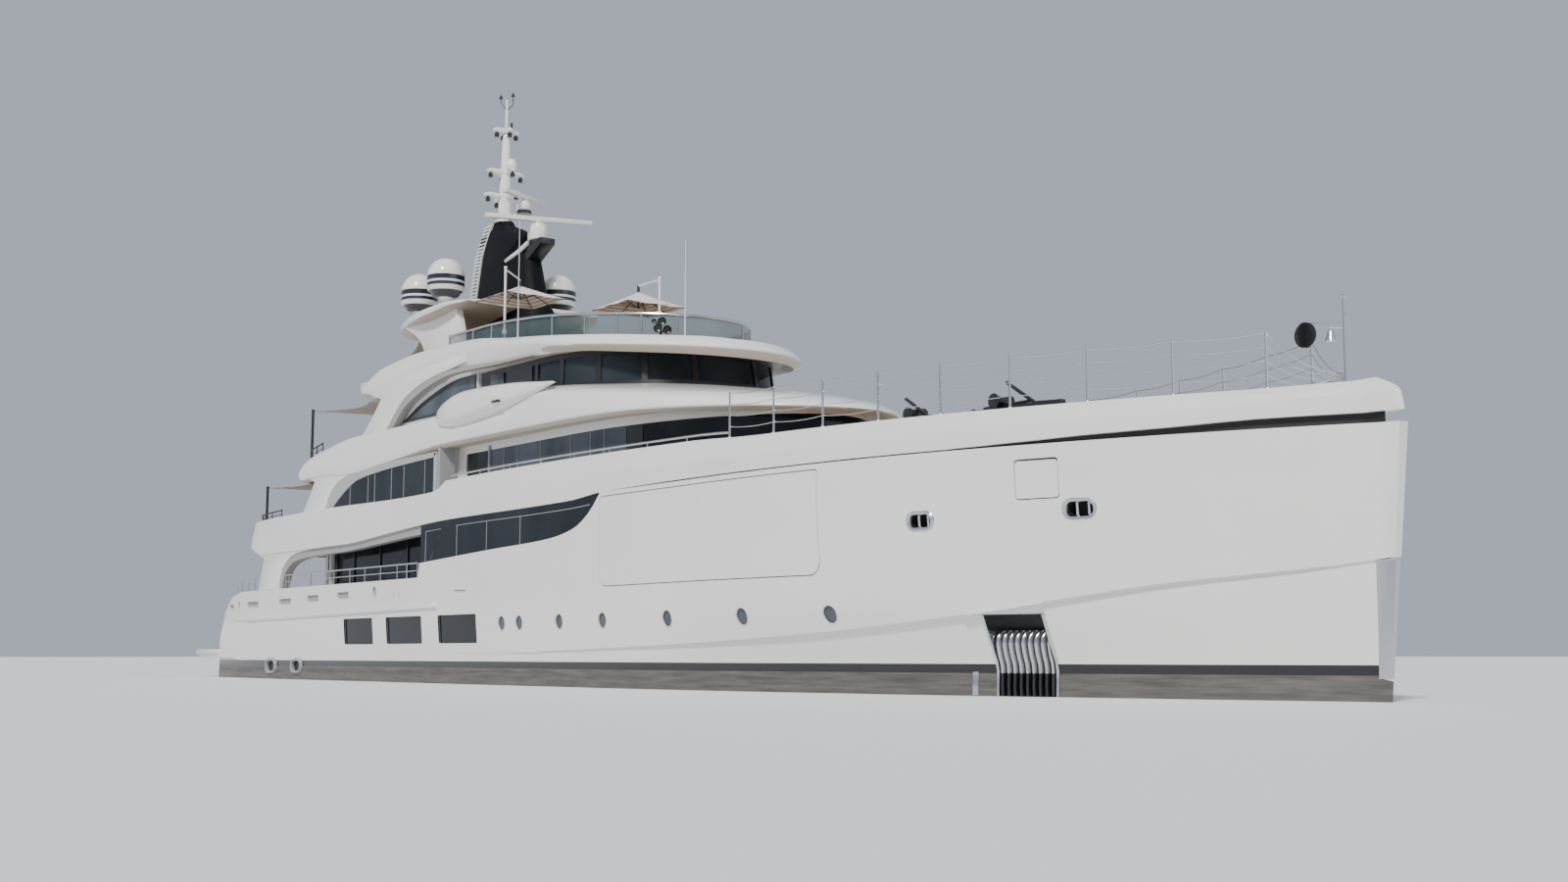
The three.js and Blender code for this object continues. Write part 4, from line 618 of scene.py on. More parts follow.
def on_skin(x, z, out=0.0):
    return (x, -(half_breadth(x, z) + out), z)


def plug(name, at, inner, outer, grow=0.0):
    """A body through the starboard skin, from `inner` inside it to `outer` outside."""
    return loft(name, [[on_skin(x, z, out) for x, z in outline(at, grow)] for out in (-inner, outer)])


def rim(name, at, section):
    """A closed band round an opening. Its section is in (grown by, out from the skin) points."""
    verts, faces, m = [], [], len(section)
    rings = [[on_skin(x, z, out) for x, z in outline(at, grow)] for grow, out in section]
    n = len(rings[0])
    for i in range(n):
        verts += [rings[k][i] for k in range(m)]
        for k in range(m):
            a, b = (i + 1) % n * m, (k + 1) % m
            faces.append((i * m + k, i * m + b, a + b, a + k))
    return raw(name, verts, faces)


def round_section(radius, out=0.0):
    return [(radius * math.cos(t), out + radius * math.sin(t)) for t in turns(8)]


STEPS, TREAD, RISE, LANDING_Z = 8, 0.38, 0.232, 1.3
STEM_FACE = [(30.85, 0.5), (30.95, 3.1), (32, 3.2), (32, 0.3)]


def hull():
    body = hull_body("hull_paint_body")
    sheer = ([(-31, 0.8), (-28.05, 0.8)] + [(x, SHEER_AFT(x)) for x in span(-28, -24, 24)] + [(-6.2, 3.85)]
             + [(x, SHEER_FORE(x)) for x in span(-6.1, 6.45, 40)] + [(6.6, 6.3), (6.6, 7), (-31, 7)])
    well = [(-24.6, -4.9), (-17.6, -4.94), (6.3, -4.94), (6.3, 4.94), (-17.6, 4.94), (-24.6, 4.9)]
    tools = [side_plate("sheer", sheer, -6, 6), loft("well", [[(x, y, z) for x, y in well] for z in (MAIN_FLOOR_Z, 7)]),
             block("bay", 6.9, 16.7, -5.2, 5.2, 3.35, 5.75), block("room", -28.9, -24.2, -2.5, 2.5, 1.36, 3.0)]
    steps = [(-28.6, LANDING_Z)]
    for i in range(STEPS):
        steps += [(-27.6 + TREAD * i, LANDING_Z + RISE * j) for j in (i, i + 1)]
    steps += [(-24.5, 3.16), (-24.5, 5), (-28.6, 5)]
    tools += [side_plate("stairs", steps, side * 3.6 - 0.55, side * 3.6 + 0.55) for side in (-1, 1)]
    doorway = [(-30, 1.348), (-27.89, 1.348), (-27.62, 1.75), (-27.1, 2.3), (-26.36, 3.132), (-30, 3.132)]
    tools.append(side_plate("doorway", doorway, -2.6, 2.6))
    for at, head, deep, corner in ((DOOR, SEAM, 0.17, DOOR_CORNER), (HATCH, HATCH_HEAD, 0.5, HATCH_CORNER)):
        edges = (at["x0"] - SEAM, at["x1"] + SEAM, at["z0"] - SEAM, at["z1"] + head)
        tools += pair(skin_slab("rebate", *edges, deep, -0.3, corner))
    tools += pair(skin_slab("pocket", *POCKET.values(), 0.55, -0.4, rows=14))
    recesses = [plug("recess", at, deep, 0.3) for openings, deep in (
        (PORTHOLES + LOW_WINDOWS, 0.09), (FREEING_PORTS + EXHAUSTS, 0.11), (FAIRLEADS, 0.42)) for at in openings]
    tools += pair(merged("recesses", recesses))
    tools.append(side_plate("stem", STEM_FACE, -1, 1))
    return cut(body, *tools)


finish(hull(), "hull_shell", HULL_PAINT, sharp=24, replaces=[
    "hull", "topsides", "bulwark_starboard", "bulwark_port"])

bright = [(30.852, 0.5), (30.952, 3.1), (32, 3.1), (32, 0.5)]
stem = combine(hull_body("stem", 0.004), [side_plate("bright", bright, -1, 1)], "INTERSECT")
finish(stem, "stem_cladding", STEEL)

both("shell_door", skin_slab("door", *DOOR.values(), 0.14, 0, DOOR_CORNER), HULL_PAINT,
     body="garage_door_{}", replaces=["garage_door_{}"])
both("shell_hatch", skin_slab("hatch", *HATCH.values(), 0.1, HATCH_INSET, HATCH_CORNER, lean=0.04), HULL_PAINT,
     body="bow_hatch_{}", replaces=["bow_hatch_{}"])


# Glass, plates, rims and rollers of the openings in the side, with painted shade at the backs of the freeing ports and
# in the fairleads
def backs(name, openings, inner, outer, look):
    """A pane or plate in each opening, between two depths inside the skin."""
    both(name, [plug("back", at, inner, -outer, -0.002) for at in openings], look)


def rims(name, openings, section, look):
    both(name, [rim("rim", at, section) for at in openings], look)


# Porthole glass in the paler tint: painted reflection
backs("porthole_glass", PORTHOLES, 0.085, 0.05, PAINTED_REFLECTION_GLASS)
rims("porthole_rims", PORTHOLES, round_section(0.022, -0.004), PALE)
backs("low_window_glass", LOW_WINDOWS, 0.085, 0.06, GLASS)
rims("low_window_sills", LOW_WINDOWS, [(0.0, -0.055), (0.0, 0.006), (0.045, 0.006), (0.045, -0.055)], WHITE)
# Painted shade: a grey panel at the back of each freeing port for the shade inside the slot
backs("freeing_port_shade", FREEING_PORTS, 0.105, 0.07, GREY)
rims("freeing_port_rims", FREEING_PORTS, round_section(0.018), PALE)
backs("exhaust_flaps", EXHAUSTS, 0.105, 0.05, DARK_STEEL)
rims("exhaust_hoods", EXHAUSTS, [(0.0, -0.1), (-0.02, 0.0), (-0.01, 0.1), (0.06, 0.11), (0.1, 0.0), (0.1, -0.02)], GREY)
# Painted shade: near-black walls and backs inside the fairleads
throat = [(-0.002, -0.38), (-0.002, -0.03), (-0.03, -0.03), (-0.03, -0.38)]
both("fairlead_throat_shade", [plug("back", at, 0.415, -0.38, -0.002) for at in FAIRLEADS]
     + [rim("wall", at, throat) for at in FAIRLEADS], SHADOW)
rims("fairlead_rims", FAIRLEADS, [(-0.05, -0.06), (-0.05, 0.0), (-0.03, 0.035), (0.03, 0.04), (0.06, 0.01),
                                  (0.06, -0.01)], STEEL)
rollers = []
for x, z, width, height, _ in FAIRLEADS:
    for step in (-0.19, 0.19):
        ends = [on_skin(x + step * width, z + end * (height / 2 - 0.03), -0.14) for end in (-1, 1)]
        rollers.append(tube("roller", ends, 0.045, 12))
both("fairlead_rollers", rollers, STEEL)

# Rubbing strakes: a half-round along the quarter, and two thin ones above and ahead of it
strake_z = curve([(-25.3, 2.58), (-4.57, 2.79)])
xs = span(-25.3, -4.72, 40)
line = [on_skin(x, strake_z(x), -0.02) for x in xs] + [on_skin(-4.63, 2.79, -0.02), on_skin(-4.57, 2.79, -0.03)]
widths = [min(0.13, 0.05 + 0.08 * (x + 25.3) / 2.5) for x in xs] + [0.1, 0.04]
thin = [tube("thin", [on_skin(x, z, -0.008) for x, z in zip(span(a, b, 20), span(za, zb, 20))], 0.022, 6)
        for a, b, za, zb in ((-17.6, -14.0, 2.92, 2.98), (-4.4, 6.0, 1.12, 1.11))]
both("strake", [tube("strake", line, widths, 14)] + thin, WHITE)
both("draught_plate", skin_slab("plate", 21.06, 21.22, 0.02, 0.6, 0.0, -0.03), STEEL)

# Ribbed guard plates below the anchors, in steel frames under a lip
GUARD_RIBS, GUARD_VALLEY, GUARD_BACK, GUARD_DARK_Z = 9, 0.36, 0.53, 0.57
GUARD_X0, GUARD_X1 = POCKET["x0"] + 0.07, POCKET["x1"] - 0.07
guard_bulge = curve([(-0.74, 0.12), (0, 0.40), (0.8, 0.42), (1.3, 0.33), (1.5, 0.2), (1.62, 0.06)])
guard_rib = [(0.0, 0), (0.12, 0.02), (0.2, 0.55), (0.27, 0.88), (0.38, 0.98), (0.5, 1), (0.62, 0.98), (0.73, 0.88),
             (0.8, 0.55), (0.88, 0.02)]


def anchor_guard():
    pitch = (GUARD_X1 - GUARD_X0) / GUARD_RIBS
    rings = []
    for z in span(-0.74, 1.62, 36):
        face = [(GUARD_X0 + pitch * (i + share), GUARD_VALLEY - guard_bulge(z) * level) for i in range(GUARD_RIBS)
                for share, level in guard_rib] + [(GUARD_X1, GUARD_VALLEY)]
        face += [(x, GUARD_BACK) for x in (GUARD_X1, (GUARD_X0 + GUARD_X1) / 2, GUARD_X0)]
        rings.append([on_skin(x, z, -deep) for x, deep in face])
    return loft("guard", rings)


for part in both("anchor_guard", anchor_guard(), STEEL, replaces=["anchor_plate_{}"]):
    part.data.materials.append(DARK_STEEL)
    for face in part.data.polygons:
        if face.center.z < GUARD_DARK_Z * SCALE:
            face.material_index = 1
frames = [skin_slab("frame", x, x + 0.065, -0.74, 2.0, 0.54, -0.03, rows=12)
          for x in (POCKET["x0"] + 0.003, POCKET["x1"] - 0.068)]
both("anchor_frames", frames, STEEL)
# Painted shade: a near-black back and head at the top of each anchor pocket
both("anchor_pocket_shade", [skin_slab("back", GUARD_X0, GUARD_X1, 1.63, 2.015, 0.545, 0.5),
                              skin_slab("head", GUARD_X0, GUARD_X1, 1.985, 2.015, 0.5, 0.0)], SHADOW)
lip = []
for x in span(POCKET["x0"] - 0.35, POCKET["x1"] + 0.12, 12):
    z = KNUCKLE(x)
    y = half_breadth(x, z + 0.05)
    lip.append([(x, -y + 0.1, z - 0.02), (x, -y - 0.03, z - 0.02), (x, -y - 0.035, z + 0.07), (x, -y + 0.02, z + 0.14)])
both("anchor_lip", loft("lip", lip), WHITE, bevel=0.008)

# Swim platform, with a fender on each side
PLATFORM_AFT, PLATFORM_HALF, PLATFORM_CORNER = -31.3, 4.72, 1.1


def platform_ring(inset, z):
    corner = PLATFORM_CORNER - inset
    side = [(-25.3, 4.9), (-25.3, 5.06 - inset), (-28.4, 4.9 - inset)]
    side += [(PLATFORM_AFT + inset + corner * (1 - math.sin(t)), PLATFORM_HALF - inset - corner * (1 - math.cos(t)))
             for t in span(0, math.pi / 2, 12)]
    return [(x, -y, z) for x, y in side] + [(x, y, z) for x, y in side[::-1]]


rings = [platform_ring(i, z) for i, z in ((0.1, 0.86), (0.03, 0.89), (0, 0.95), (0, 1.15), (0.03, 1.21), (0.08, 1.24))]
finish(loft("platform", rings), "platform_slab", WHITE, replaces=["swim_platform"])
deck = loft("teak", [[(max(x, -31.1), max(min(y, 4.5), -4.5), z) for x, y, _ in platform_ring(0.25, 0)]
                     for z in (1.238, 1.26)])
finish(cut(deck, block("fore", -28.1, -20, -6, 6, 1, 1.5)), "platform_teak", TEAK)
fender = [(-30.5, 0.03), (-30.46, 0.1), (-30.36, 0.15), (-27.2, 0.15), (-27.1, 0.1), (-27.06, 0.03)]
both("platform_fender", tube("fender", [(x, -4.78 - 0.12 * (x + 30.5) / 3.4, 1.14) for x, _ in fender],
                             [r for _, r in fender], 16), PALE)
cleats = []
for x, y in ((-30.2, -4.0), (-28.9, -4.45)):
    cleats.append(tube("horn", [(x - 0.16, y, 1.36), (x, y, 1.33), (x + 0.16, y, 1.36)], 0.025))
    cleats += [tube("foot", [(x + s * 0.05, y, 1.24), (x + s * 0.04, y, 1.34)], 0.02) for s in (-1, 1)]
both("platform_cleats", cleats, STEEL)

# Shafts in their struts, rudder bosses, propellers and rudders
SHAFT_X, SHAFT_Y, SHAFT_Z, RUDDER_X = -22.4, 2.35, -2.1, -24.3


def on_shaft(*xs):
    return [(x, -SHAFT_Y, SHAFT_Z) for x in xs]


barrel = on_shaft(SHAFT_X + 0.32, SHAFT_X + 0.4, SHAFT_X + 1.0, SHAFT_X + 1.1)
gear = [tube("shaft", on_shaft(SHAFT_X + 0.27, -13.5), 0.13, 16), tube("barrel", barrel, [0.2, 0.24, 0.24, 0.18], 20),
        upright(RUDDER_X, -SHAFT_Y, -0.944, -0.5, 0.14, 16)]
gear += [tube("leg", [(SHAFT_X + 0.7, -SHAFT_Y, SHAFT_Z), (SHAFT_X + 0.7, -SHAFT_Y + lean, -0.6)], 0.09, 12)
         for lean in (-0.75, 0.75)]
both("shaft_line", gear, ANTIFOULING)
BLADES = 5
BLADE_SECTION = ((-1, 0), (-0.5, 0.7), (0, 1), (0.5, 0.7), (1, 0), (0.5, -0.7), (0, -1), (-0.5, -0.7))


def propeller():
    hub = [(0, -0.34), (0.07, -0.32), (0.14, -0.24), (0.19, -0.1), (0.2, 0.05), (0.2, 0.24), (0, 0.24)]
    parts = [turned("hub", hub, segments=24)]
    for k in range(BLADES):
        rings = []
        for share in span(0, 1, 12):
            radius = 0.12 + 0.73 * share
            half = 0.2 + 0.52 * share * (1 - share) - 0.08 * share if share < 1 else 0.06
            thick = 0.028 * (1 - share) + 0.008
            lean = math.radians(62 - 37 * share ** 0.7)
            turn = math.radians(72 * k) + 0.25 * share * share
            ring = []
            for u, v in BLADE_SECTION:
                a = half * u * math.cos(lean) - thick * v * math.sin(lean)
                b = half * u * math.sin(lean) + thick * v * math.cos(lean)
                ring.append((a * math.cos(turn) - radius * math.sin(turn),
                             a * math.sin(turn) + radius * math.cos(turn), b))
            rings.append(ring)
        parts.append(loft("blade", rings))
    return moved(merged("propeller", parts), (SHAFT_X, -SHAFT_Y, SHAFT_Z), 90, "Y")


def rudder():
    rings = []
    for z, share in ((-2.75, 0.8), (-2.72, 0.815), (-1.08, 0.99), (-1.05, 1.0)):
        side = [(0.45 * share - 1.4 * share * u + RUDDER_X,
                 max(0.352 * (math.sqrt(u) * 0.55 - 0.2 * u - 0.35 * u ** 3), 0.004)) for u in span(0, 1, 12)]
        rings.append([(x, -SHAFT_Y - y, z) for x, y in side] + [(x, -SHAFT_Y + y, z) for x, y in side[::-1]])
    return [loft("blade", rings), upright(RUDDER_X, -SHAFT_Y, -1.15, -0.95, 0.1, 16)]


both("propeller_{}_shape", propeller(), BRONZE, body="propeller_{}", replaces=["propeller_{}"])
both("rudder_{}_shape", rudder(), ANTIFOULING, body="rudder_{}", replaces=["rudder_{}"])

# Transom door, hinged along its head, and the sliding leaves of the aft doors
skin = [(float(np.interp(z, (1.25, 1.6, 2.3, 3.2), (-28.05, -27.9, -27.3, -26.5))), z)
        for z in span(1.372, 3.108, 14)]
leaf = side_plate("leaf", skin + [(x + 0.138, z) for x, z in skin[::-1]], -2.585, 2.585)
finish(leaf, "transom_door_leaf", WHITE, body="transom_door", replaces=["transom_door"], bevel=0.02)
for node, wall, foot, head in (("saloon_door", -17.6, 3.165, 5.815), ("upper_aft_door", -14.2, 6.315, 8.275)):
    fore = wall - 0.013
    pane = block("pane", fore - 0.04, fore - 0.01, -1.03, 1.03, foot + 0.05, head - 0.05)
    finish(pane, f"{node}_pane", GLASS, body=node, replaces=[node])
    bars = [block("bar", fore - 0.049, fore - 0.001, *at) for at in (
        (-1.08, -1.0, foot, head), (1.0, 1.08, foot, head), (-1.08, 1.08, foot, foot + 0.09),
        (-1.08, 1.08, head - 0.09, head))]
    bars.append(upright(fore - 0.049, -0.93, foot + 0.9, foot + 1.5, 0.02))
    finish(bars, f"{node}_bars", STEEL, body=node)


# Outlines and deck plans
def bend(points, corners=(), steps=6):
    """A closed outline that curves through its points, and turns sharply at the numbered ones."""
    made, count = [], len(points)
    at = [Vector(p) for p in points]
    for i in range(count):
        a, b = at[i], at[(i + 1) % count]
        reach = (b - a).length
        first = (b - a) if i in corners else (b - at[i - 1]).normalized() * reach
        last = (b - a) if (i + 1) % count in corners else (at[(i + 2) % count] - a).normalized() * reach
        straight = i in corners and (i + 1) % count in corners
        made += [tuple(a)] if straight else [tuple(blend(k / steps, a, b, first, last)) for k in range(steps)]
    return made


def plan(z, aft, tip, half, front, corner=1.2, inset=0.0, straight=44, turn=34):
    """A deck's outline at one level: round aft corners, straight sides and a round front."""
    xs = [aft + corner * (1 - math.cos(t)) for t in span(0, math.pi / 2, 9)]
    xs += span(aft + corner, front, straight)[1:]
    xs += [front + (tip - front) * math.sin(t) for t in span(0, math.pi / 2, turn)][1:]
    side = []
    for x in xs:
        into = max(aft + corner - x, 0)
        rounding = corner - math.sqrt(max(corner ** 2 - into ** 2, 0))
        pull = inset(x) if callable(inset) else inset
        side.append((x, max(half(x) - pull - rounding, 0.03), z(x) if callable(z) else z))
    return [(x, -y, up) for x, y, up in side] + [(x, y, up) for x, y, up in side[::-1]]


def raised(edge, by):
    return lambda x: edge(x) + by


def round_front(half, front, tip):
    return lambda x: half if x <= front else half * math.sqrt(max(1 - ((x - front) / (tip - front)) ** 2, 0))


def bow_half(inset, tip):
    return lambda x: max(top_half(x) - inset - quarter(x) * 0.5, 0.2 * math.sqrt(max(tip - x, 0) + 0.02))


# Upper deck and foredeck: one moulding over a recess whose darkness is painted shade
UPPER_LOWER = curve([(-23.1, 5.4), (-13.1, 5.42), (-8.6, 5.66), (-4.3, 5.86), (4.6, 5.95), (6.7, 6.1), (11.3, 6.14),
                     (21, 6.14), (25, 6.24), (27, 6.29), (29, 6.36), (31.7, 6.37)])
UPPER_UPPER = curve([(-23.9, 6.55), (-22.4, 6.9), (-14.7, 6.98), (-8.3, 6.92), (-5, 6.97), (-4.4, 7.29), (3.3, 7.36),
                     (11.3, 7.28), (14.2, 7.16), (28, 7.08), (31.06, 7.15)])
TUMBLEHOME = curve([(-5, 0.03), (14, 0.33)])
UPPER_NECK, UPPER_FRONT = 6.29, 8


def upper_plan(aft, tip, z, extra=0.0, inset=0.0):
    return plan(z, aft, tip, bow_half(extra, tip), UPPER_FRONT, inset=inset, straight=60)


def soffit_plan(z):
    return upper_plan(-22.7, 31.2, z, inset=0.16)


def well_plan(z):
    return upper_plan(-23.6, 30.4, z, 0.25, TUMBLEHOME)


def deck_moulding():
    outer = rounded([upper_plan(-23.1, 31.7, UPPER_LOWER), upper_plan(-24.3, 31.6, raised(UPPER_LOWER, 0.45)),
                     upper_plan(-23.9, 31.06, UPPER_UPPER, inset=TUMBLEHOME)], 5)
    body = loft("moulding", [upper_plan(-23.1, 31.7, 5.2)] + outer
                + [upper_plan(-23.65, 30.5, UPPER_UPPER, 0.22, TUMBLEHOME), well_plan(UPPER_FLOOR_Z)], mirror=True)
    under = side_plate("under", [(-25, 5.1), (-25, 5.4)] + [(x, UPPER_LOWER(x)) for x in span(-23.1, 31.7, 90)]
                       + [(33, 6.37), (33, 5.1)], -6, 6)
    soffit = loft("soffit", [soffit_plan(z) for z in (5, 5.97)], mirror=True)
    soffit = cut(soffit, block("ahead", UPPER_NECK, 33, -6, 6, 4, 8))
    return cut(body, under, soffit)


UPPER_LEG = bend([(-23, 5.6), (-21.7, 5.2), (-21.97, 4.67), (-22.3, 3.84), (-19.95, 3.84), (-19.86, 4.21),
                  (-19.47, 4.79), (-18.53, 5.22), (-16.5, 5.4), (-13.5, 5.44), (-13.5, 5.8), (-23, 5.8)],
                 (0, 1, 3, 4, 9, 10, 11))
finish(deck_moulding(), "deck_moulding", WHITE, bevel=0.03, replaces=[
    "upper_deck", "upper_deck_aft", "foredeck"])
both("upper_leg", side_plate("leg", UPPER_LEG, -5.06, -4.62), WHITE, bevel=0.03)
# A near-black ring under the foredeck moulding: painted shade in the recess
neck = loft("neck", [soffit_plan(z) for z in (6.06, 6.6)], mirror=True)
within = loft("within", [well_plan(z) for z in (6.285, 7)], mirror=True)
finish(cut(neck, block("behind", -30, UPPER_NECK, -6, 6, 4, 8), within), "bow_recess", SHADOW)
finish(loft("teak", [upper_plan(-23.58, 30.35, z, 0.27, TUMBLEHOME) for z in (6.29, 6.315)], mirror=True),
       "upper_deck_teak", TEAK)

# Bridge deck: a brow that rolls up to the wheelhouse, with side legs
BRIDGE_LOWER = curve([(-18.7, 8.2), (-16.1, 8.28), (-13, 8.12), (-8.8, 8.33), (-4.2, 8.56), (3.2, 8.54), (6.9, 8.52),
                      (10, 8.4), (13.5, 8.22)])
BRIDGE_UPPER = curve([(-18.6, 8.95), (-17.7, 9.22), (-15.7, 9.5), (-12.7, 9.75), (-7, 9.75), (-2, 10), (2.4, 9.98),
                      (5, 9.85), (7.7, 9.72)])
BRIDGE_SHOULDER = curve([(-18.9, 8.85), (-16, 9.2), (3, 9.35), (11.2, 9.1)])
BRIDGE_FRONT = 3.4


def bridge_plan(aft, tip, half, z, front=BRIDGE_FRONT):
    return plan(z, aft, tip, round_front(half, front, tip), front)


def bridge_body():
    outer = rounded([bridge_plan(-18.3, 13.2, 4.9, BRIDGE_LOWER),
                     bridge_plan(-18.8, 13.5, 5.08, raised(BRIDGE_LOWER, 0.16)),
                     bridge_plan(-19, 13.0, 5.1, raised(BRIDGE_LOWER, 0.4)),
                     bridge_plan(-18.9, 11.2, 4.98, BRIDGE_SHOULDER),
                     bridge_plan(-18.6, 7.7, 4.86, BRIDGE_UPPER, 0)], 4)
    return loft("brow", [bridge_plan(-18.2, 12.8, 4.6, 8.6)] + outer
                + [bridge_plan(-18.4, 7.3, 4.66, BRIDGE_UPPER, 0), bridge_plan(-18.4, 7.2, 4.62, BRIDGE_FLOOR_Z, 0)],
                mirror=True)


BRIDGE_LEG = bend([(-17.2, 8.4), (-16.41, 8.19), (-16.95, 7.57), (-17.6, 6.95), (-15.2, 6.97), (-14.72, 7.6),
                   (-13.76, 8.06), (-11.47, 8.39), (-10.5, 8.5), (-10.5, 8.7), (-17.2, 8.7)], (0, 1, 3, 4, 8, 9, 10))
finish(bridge_body(), "bridge_brow", WHITE, replaces=["bridge_deck"], bevel=0.03, under=TAN)
both("bridge_leg", side_plate("leg", BRIDGE_LEG, -5.04, -4.62), WHITE, bevel=0.03)
finish(loft("teak", [bridge_plan(-18.38, 7.15, 4.6, z, 0) for z in (8.94, 8.965)], mirror=True), "bridge_deck_teak",
       TEAK)

# Sun deck: a round brow over the wheelhouse, with side legs
SUN_LOWER = curve([(-13, 11.2), (-10.5, 11.25), (-4.6, 11.45), (0, 11.25), (3.3, 11.12), (5.5, 10.9), (8, 10.66)])
SUN_MID = curve([(-13.2, 11.5), (-9, 11.9), (-3.5, 12.1), (0, 11.8), (4, 11.3), (8, 10.95)])
SUN_UPPER = curve([(-12.9, 11.75), (-10.9, 12.3), (-7.5, 12.5), (-3.5, 12.4), (0, 12.0), (4, 11.6), (7.4, 11.3)])
SUN_FRONT = 0.5


def sun_plan(aft, tip, half, z):
    return plan(z, aft, tip, round_front(half, SUN_FRONT, tip), SUN_FRONT, corner=1.0)


def sun_body():
    outer = rounded([sun_plan(-12.7, 7.7, 4.6, raised(SUN_LOWER, -0.02)), sun_plan(-13.2, 8.0, 4.85, SUN_MID),
                     sun_plan(-12.9, 7.6, 4.65, SUN_UPPER)], 6)
    return loft("brow", [sun_plan(-12.6, 7.2, 4.4, 11.15)] + outer
                + [sun_plan(-12.7, 6.6, 4.3, SUN_UPPER), sun_plan(-12.6, 6.4, 4.25, SUN_FLOOR_Z)], mirror=True)


SUN_LEG = bend([(-12.6, 11.6), (-10.6, 11.04), (-11.35, 10.43), (-12.3, 9.74), (-10.1, 9.74), (-8.85, 10.66),
                (-7.68, 11.09), (-6.19, 11.36), (-4.6, 11.49), (-3.5, 11.6), (-3.5, 11.9), (-12.6, 11.9)],
               (0, 1, 3, 4, 9, 10, 11))
finish(sun_body(), "sun_brow", WHITE, replaces=["sun_deck"], bevel=0.03, under=TAN)
both("sun_leg", side_plate("leg", SUN_LEG, -4.8, -4.42), WHITE, bevel=0.03)
finish(loft("teak", [sun_plan(-12.55, 6.35, 4.23, z) for z in (11.54, 11.565)], mirror=True), "sun_deck_teak", TEAK)


# Arches: each opening in the sides has a grey strip along its leg and deck edge, painted shade under the deck's edge
def strip(name, line, width, y0, y1, taper=1.0):
    """A flat strip along a line in side view, on its right-hand side; it narrows after a share of its length."""
    points = [Vector((x, z)) for x, z in line]
    inner = []
    for i, p in enumerate(points):
        along = (points[min(i + 1, len(points) - 1)] - points[max(i - 1, 0)]).normalized()
        ahead = max(i / (len(points) - 1) - taper, 0) / max(1 - taper, 1e-6)
        inner.append(p + width * (1 - 0.93 * ahead) * Vector((along.y, -along.x)))
    rings = [[(a.x, y, a.y) for y in (y0, y1)] + [(b.x, y, b.y) for y in (y1, y0)] for a, b in zip(points, inner)]
    return loft(name, rings)


def smooth_line(points, steps=8):
    """An open curve through points in side view."""
    closed = bend(points, (0, len(points) - 1), steps)
    return closed[:(len(points) - 1) * steps] + [points[-1]]


MAIN_ARCH = smooth_line([(-19.95, 3.86), (-19.86, 4.21), (-19.47, 4.79), (-18.53, 5.22), (-16.5, 5.4), (-13.1, 5.44),
                         (-8.6, 5.66), (-6.14, 5.77)])
UPPER_ARCH = smooth_line([(-15.1, 6.99), (-14.68, 7.6), (-13.73, 8.03), (-11.47, 8.36), (-8, 8.42), (-5.05, 8.45)])
SUN_ARCH = smooth_line([(-10.1, 9.76), (-8.85, 10.66), (-7.68, 11.09), (-6.19, 11.36), (-4.6, 11.45), (-1, 11.28),
                        (1.4, 11.18)])
# Painted shade along the arches of the main and sun decks
both("main_arch_shade", strip("lining", MAIN_ARCH, 0.3, -5.0, -4.66), ARCH_SHADE)
both("sun_arch_shade", strip("lining", SUN_ARCH, 0.3, -4.76, -4.46, 0.35), ARCH_SHADE)

# Main deck house
FULL_HALF, WALL_HALF = 4.94, 3.95


def main_house():
    floor = MAIN_FLOOR_Z + 0.001
    body = join(block("house", -17.6, -6.15, -WALL_HALF, WALL_HALF, floor, 5.96),
                block("fore", -6.25, 6.28, -FULL_HALF, FULL_HALF, floor, 5.96))
    return cut(body, block("saloon", -17.45, -7, -3.75, 3.75, 3.3, 5.75),
               side_plate("windows", [(-17.2, 3.3), (-7.1, 3.3), (-7.1, 5.62), (-17.2, 5.62)], -6, 6),
               block("doorway", -18.6, -17.35, -1, 1, 3.3, 5.6))


finish(main_house(), "main_house", WHITE, replaces=["main_deck_house"], bevel=0.02)
glass_edge = ([(x, SHEER_FORE(x) + 0.015) for x in span(-6.12, 6.42, 40)]
              + [(x, GLASS_TOP(x) - 0.005) for x in span(6.42, -6.12, 40)])
both("side_window", side_plate("glass", glass_edge, -5.1, -4.95), GLASS, replaces=["side_glass_{}"])
SIDE_SEAMS = (-5.69, -3.21, -0.97, 1.41)
seams = [block("seam", x - 0.014, x + 0.014, -5.106, -5.08, SHEER_FORE(x) + 0.02, GLASS_TOP(x) - 0.25)
         for x in SIDE_SEAMS]
seams += [tube("seam", [(-5.69, -5.095, 5.52), (-4.45, -5.095, 5.56), (-5.25, -5.095, 4.5)], 0.014, 6),
          strip("seam", [(x, GLASS_TOP(x) - 0.24) for x in span(-3.3, 5.9, 20)], 0.02, -5.106, -5.08)]
both("side_window_seams", seams, GREY)
SALOON_MULLIONS = (-17.17, -14.6, -12.1, -9.6, -7.13)
saloon_panes = [block("pane", a + 0.03, b - 0.03, -3.93, -3.87, 3.34, 5.56)
                for a, b in zip(SALOON_MULLIONS, SALOON_MULLIONS[1:])]
both("saloon_window", saloon_panes, GLASS, replaces=["saloon_glass_{}"])
saloon_frame = [block("bar", x - 0.035, x + 0.035, -3.985, -3.86, 3.3, 5.62) for x in SALOON_MULLIONS]
saloon_frame += [block("bar", -17.2, -7.1, -3.985, -3.86, z - 0.05, z + 0.05) for z in (3.34, 5.58)]
both("saloon_window_frame", saloon_frame, BLACK)
both("saloon_post", block("post", -16.6, -16.42, -4.2, -4.02, 3.16, 5.9), PALE, bevel=0.02)

# Upper deck house: full beam aft behind arched windows, and a glass belt round its fore part
BELT_FOOT, BELT_HEAD = 7.25, 8.32
HOUSE_HALF, HOUSE_FRONT, HOUSE_TIP = 4.2, 3, 12.3


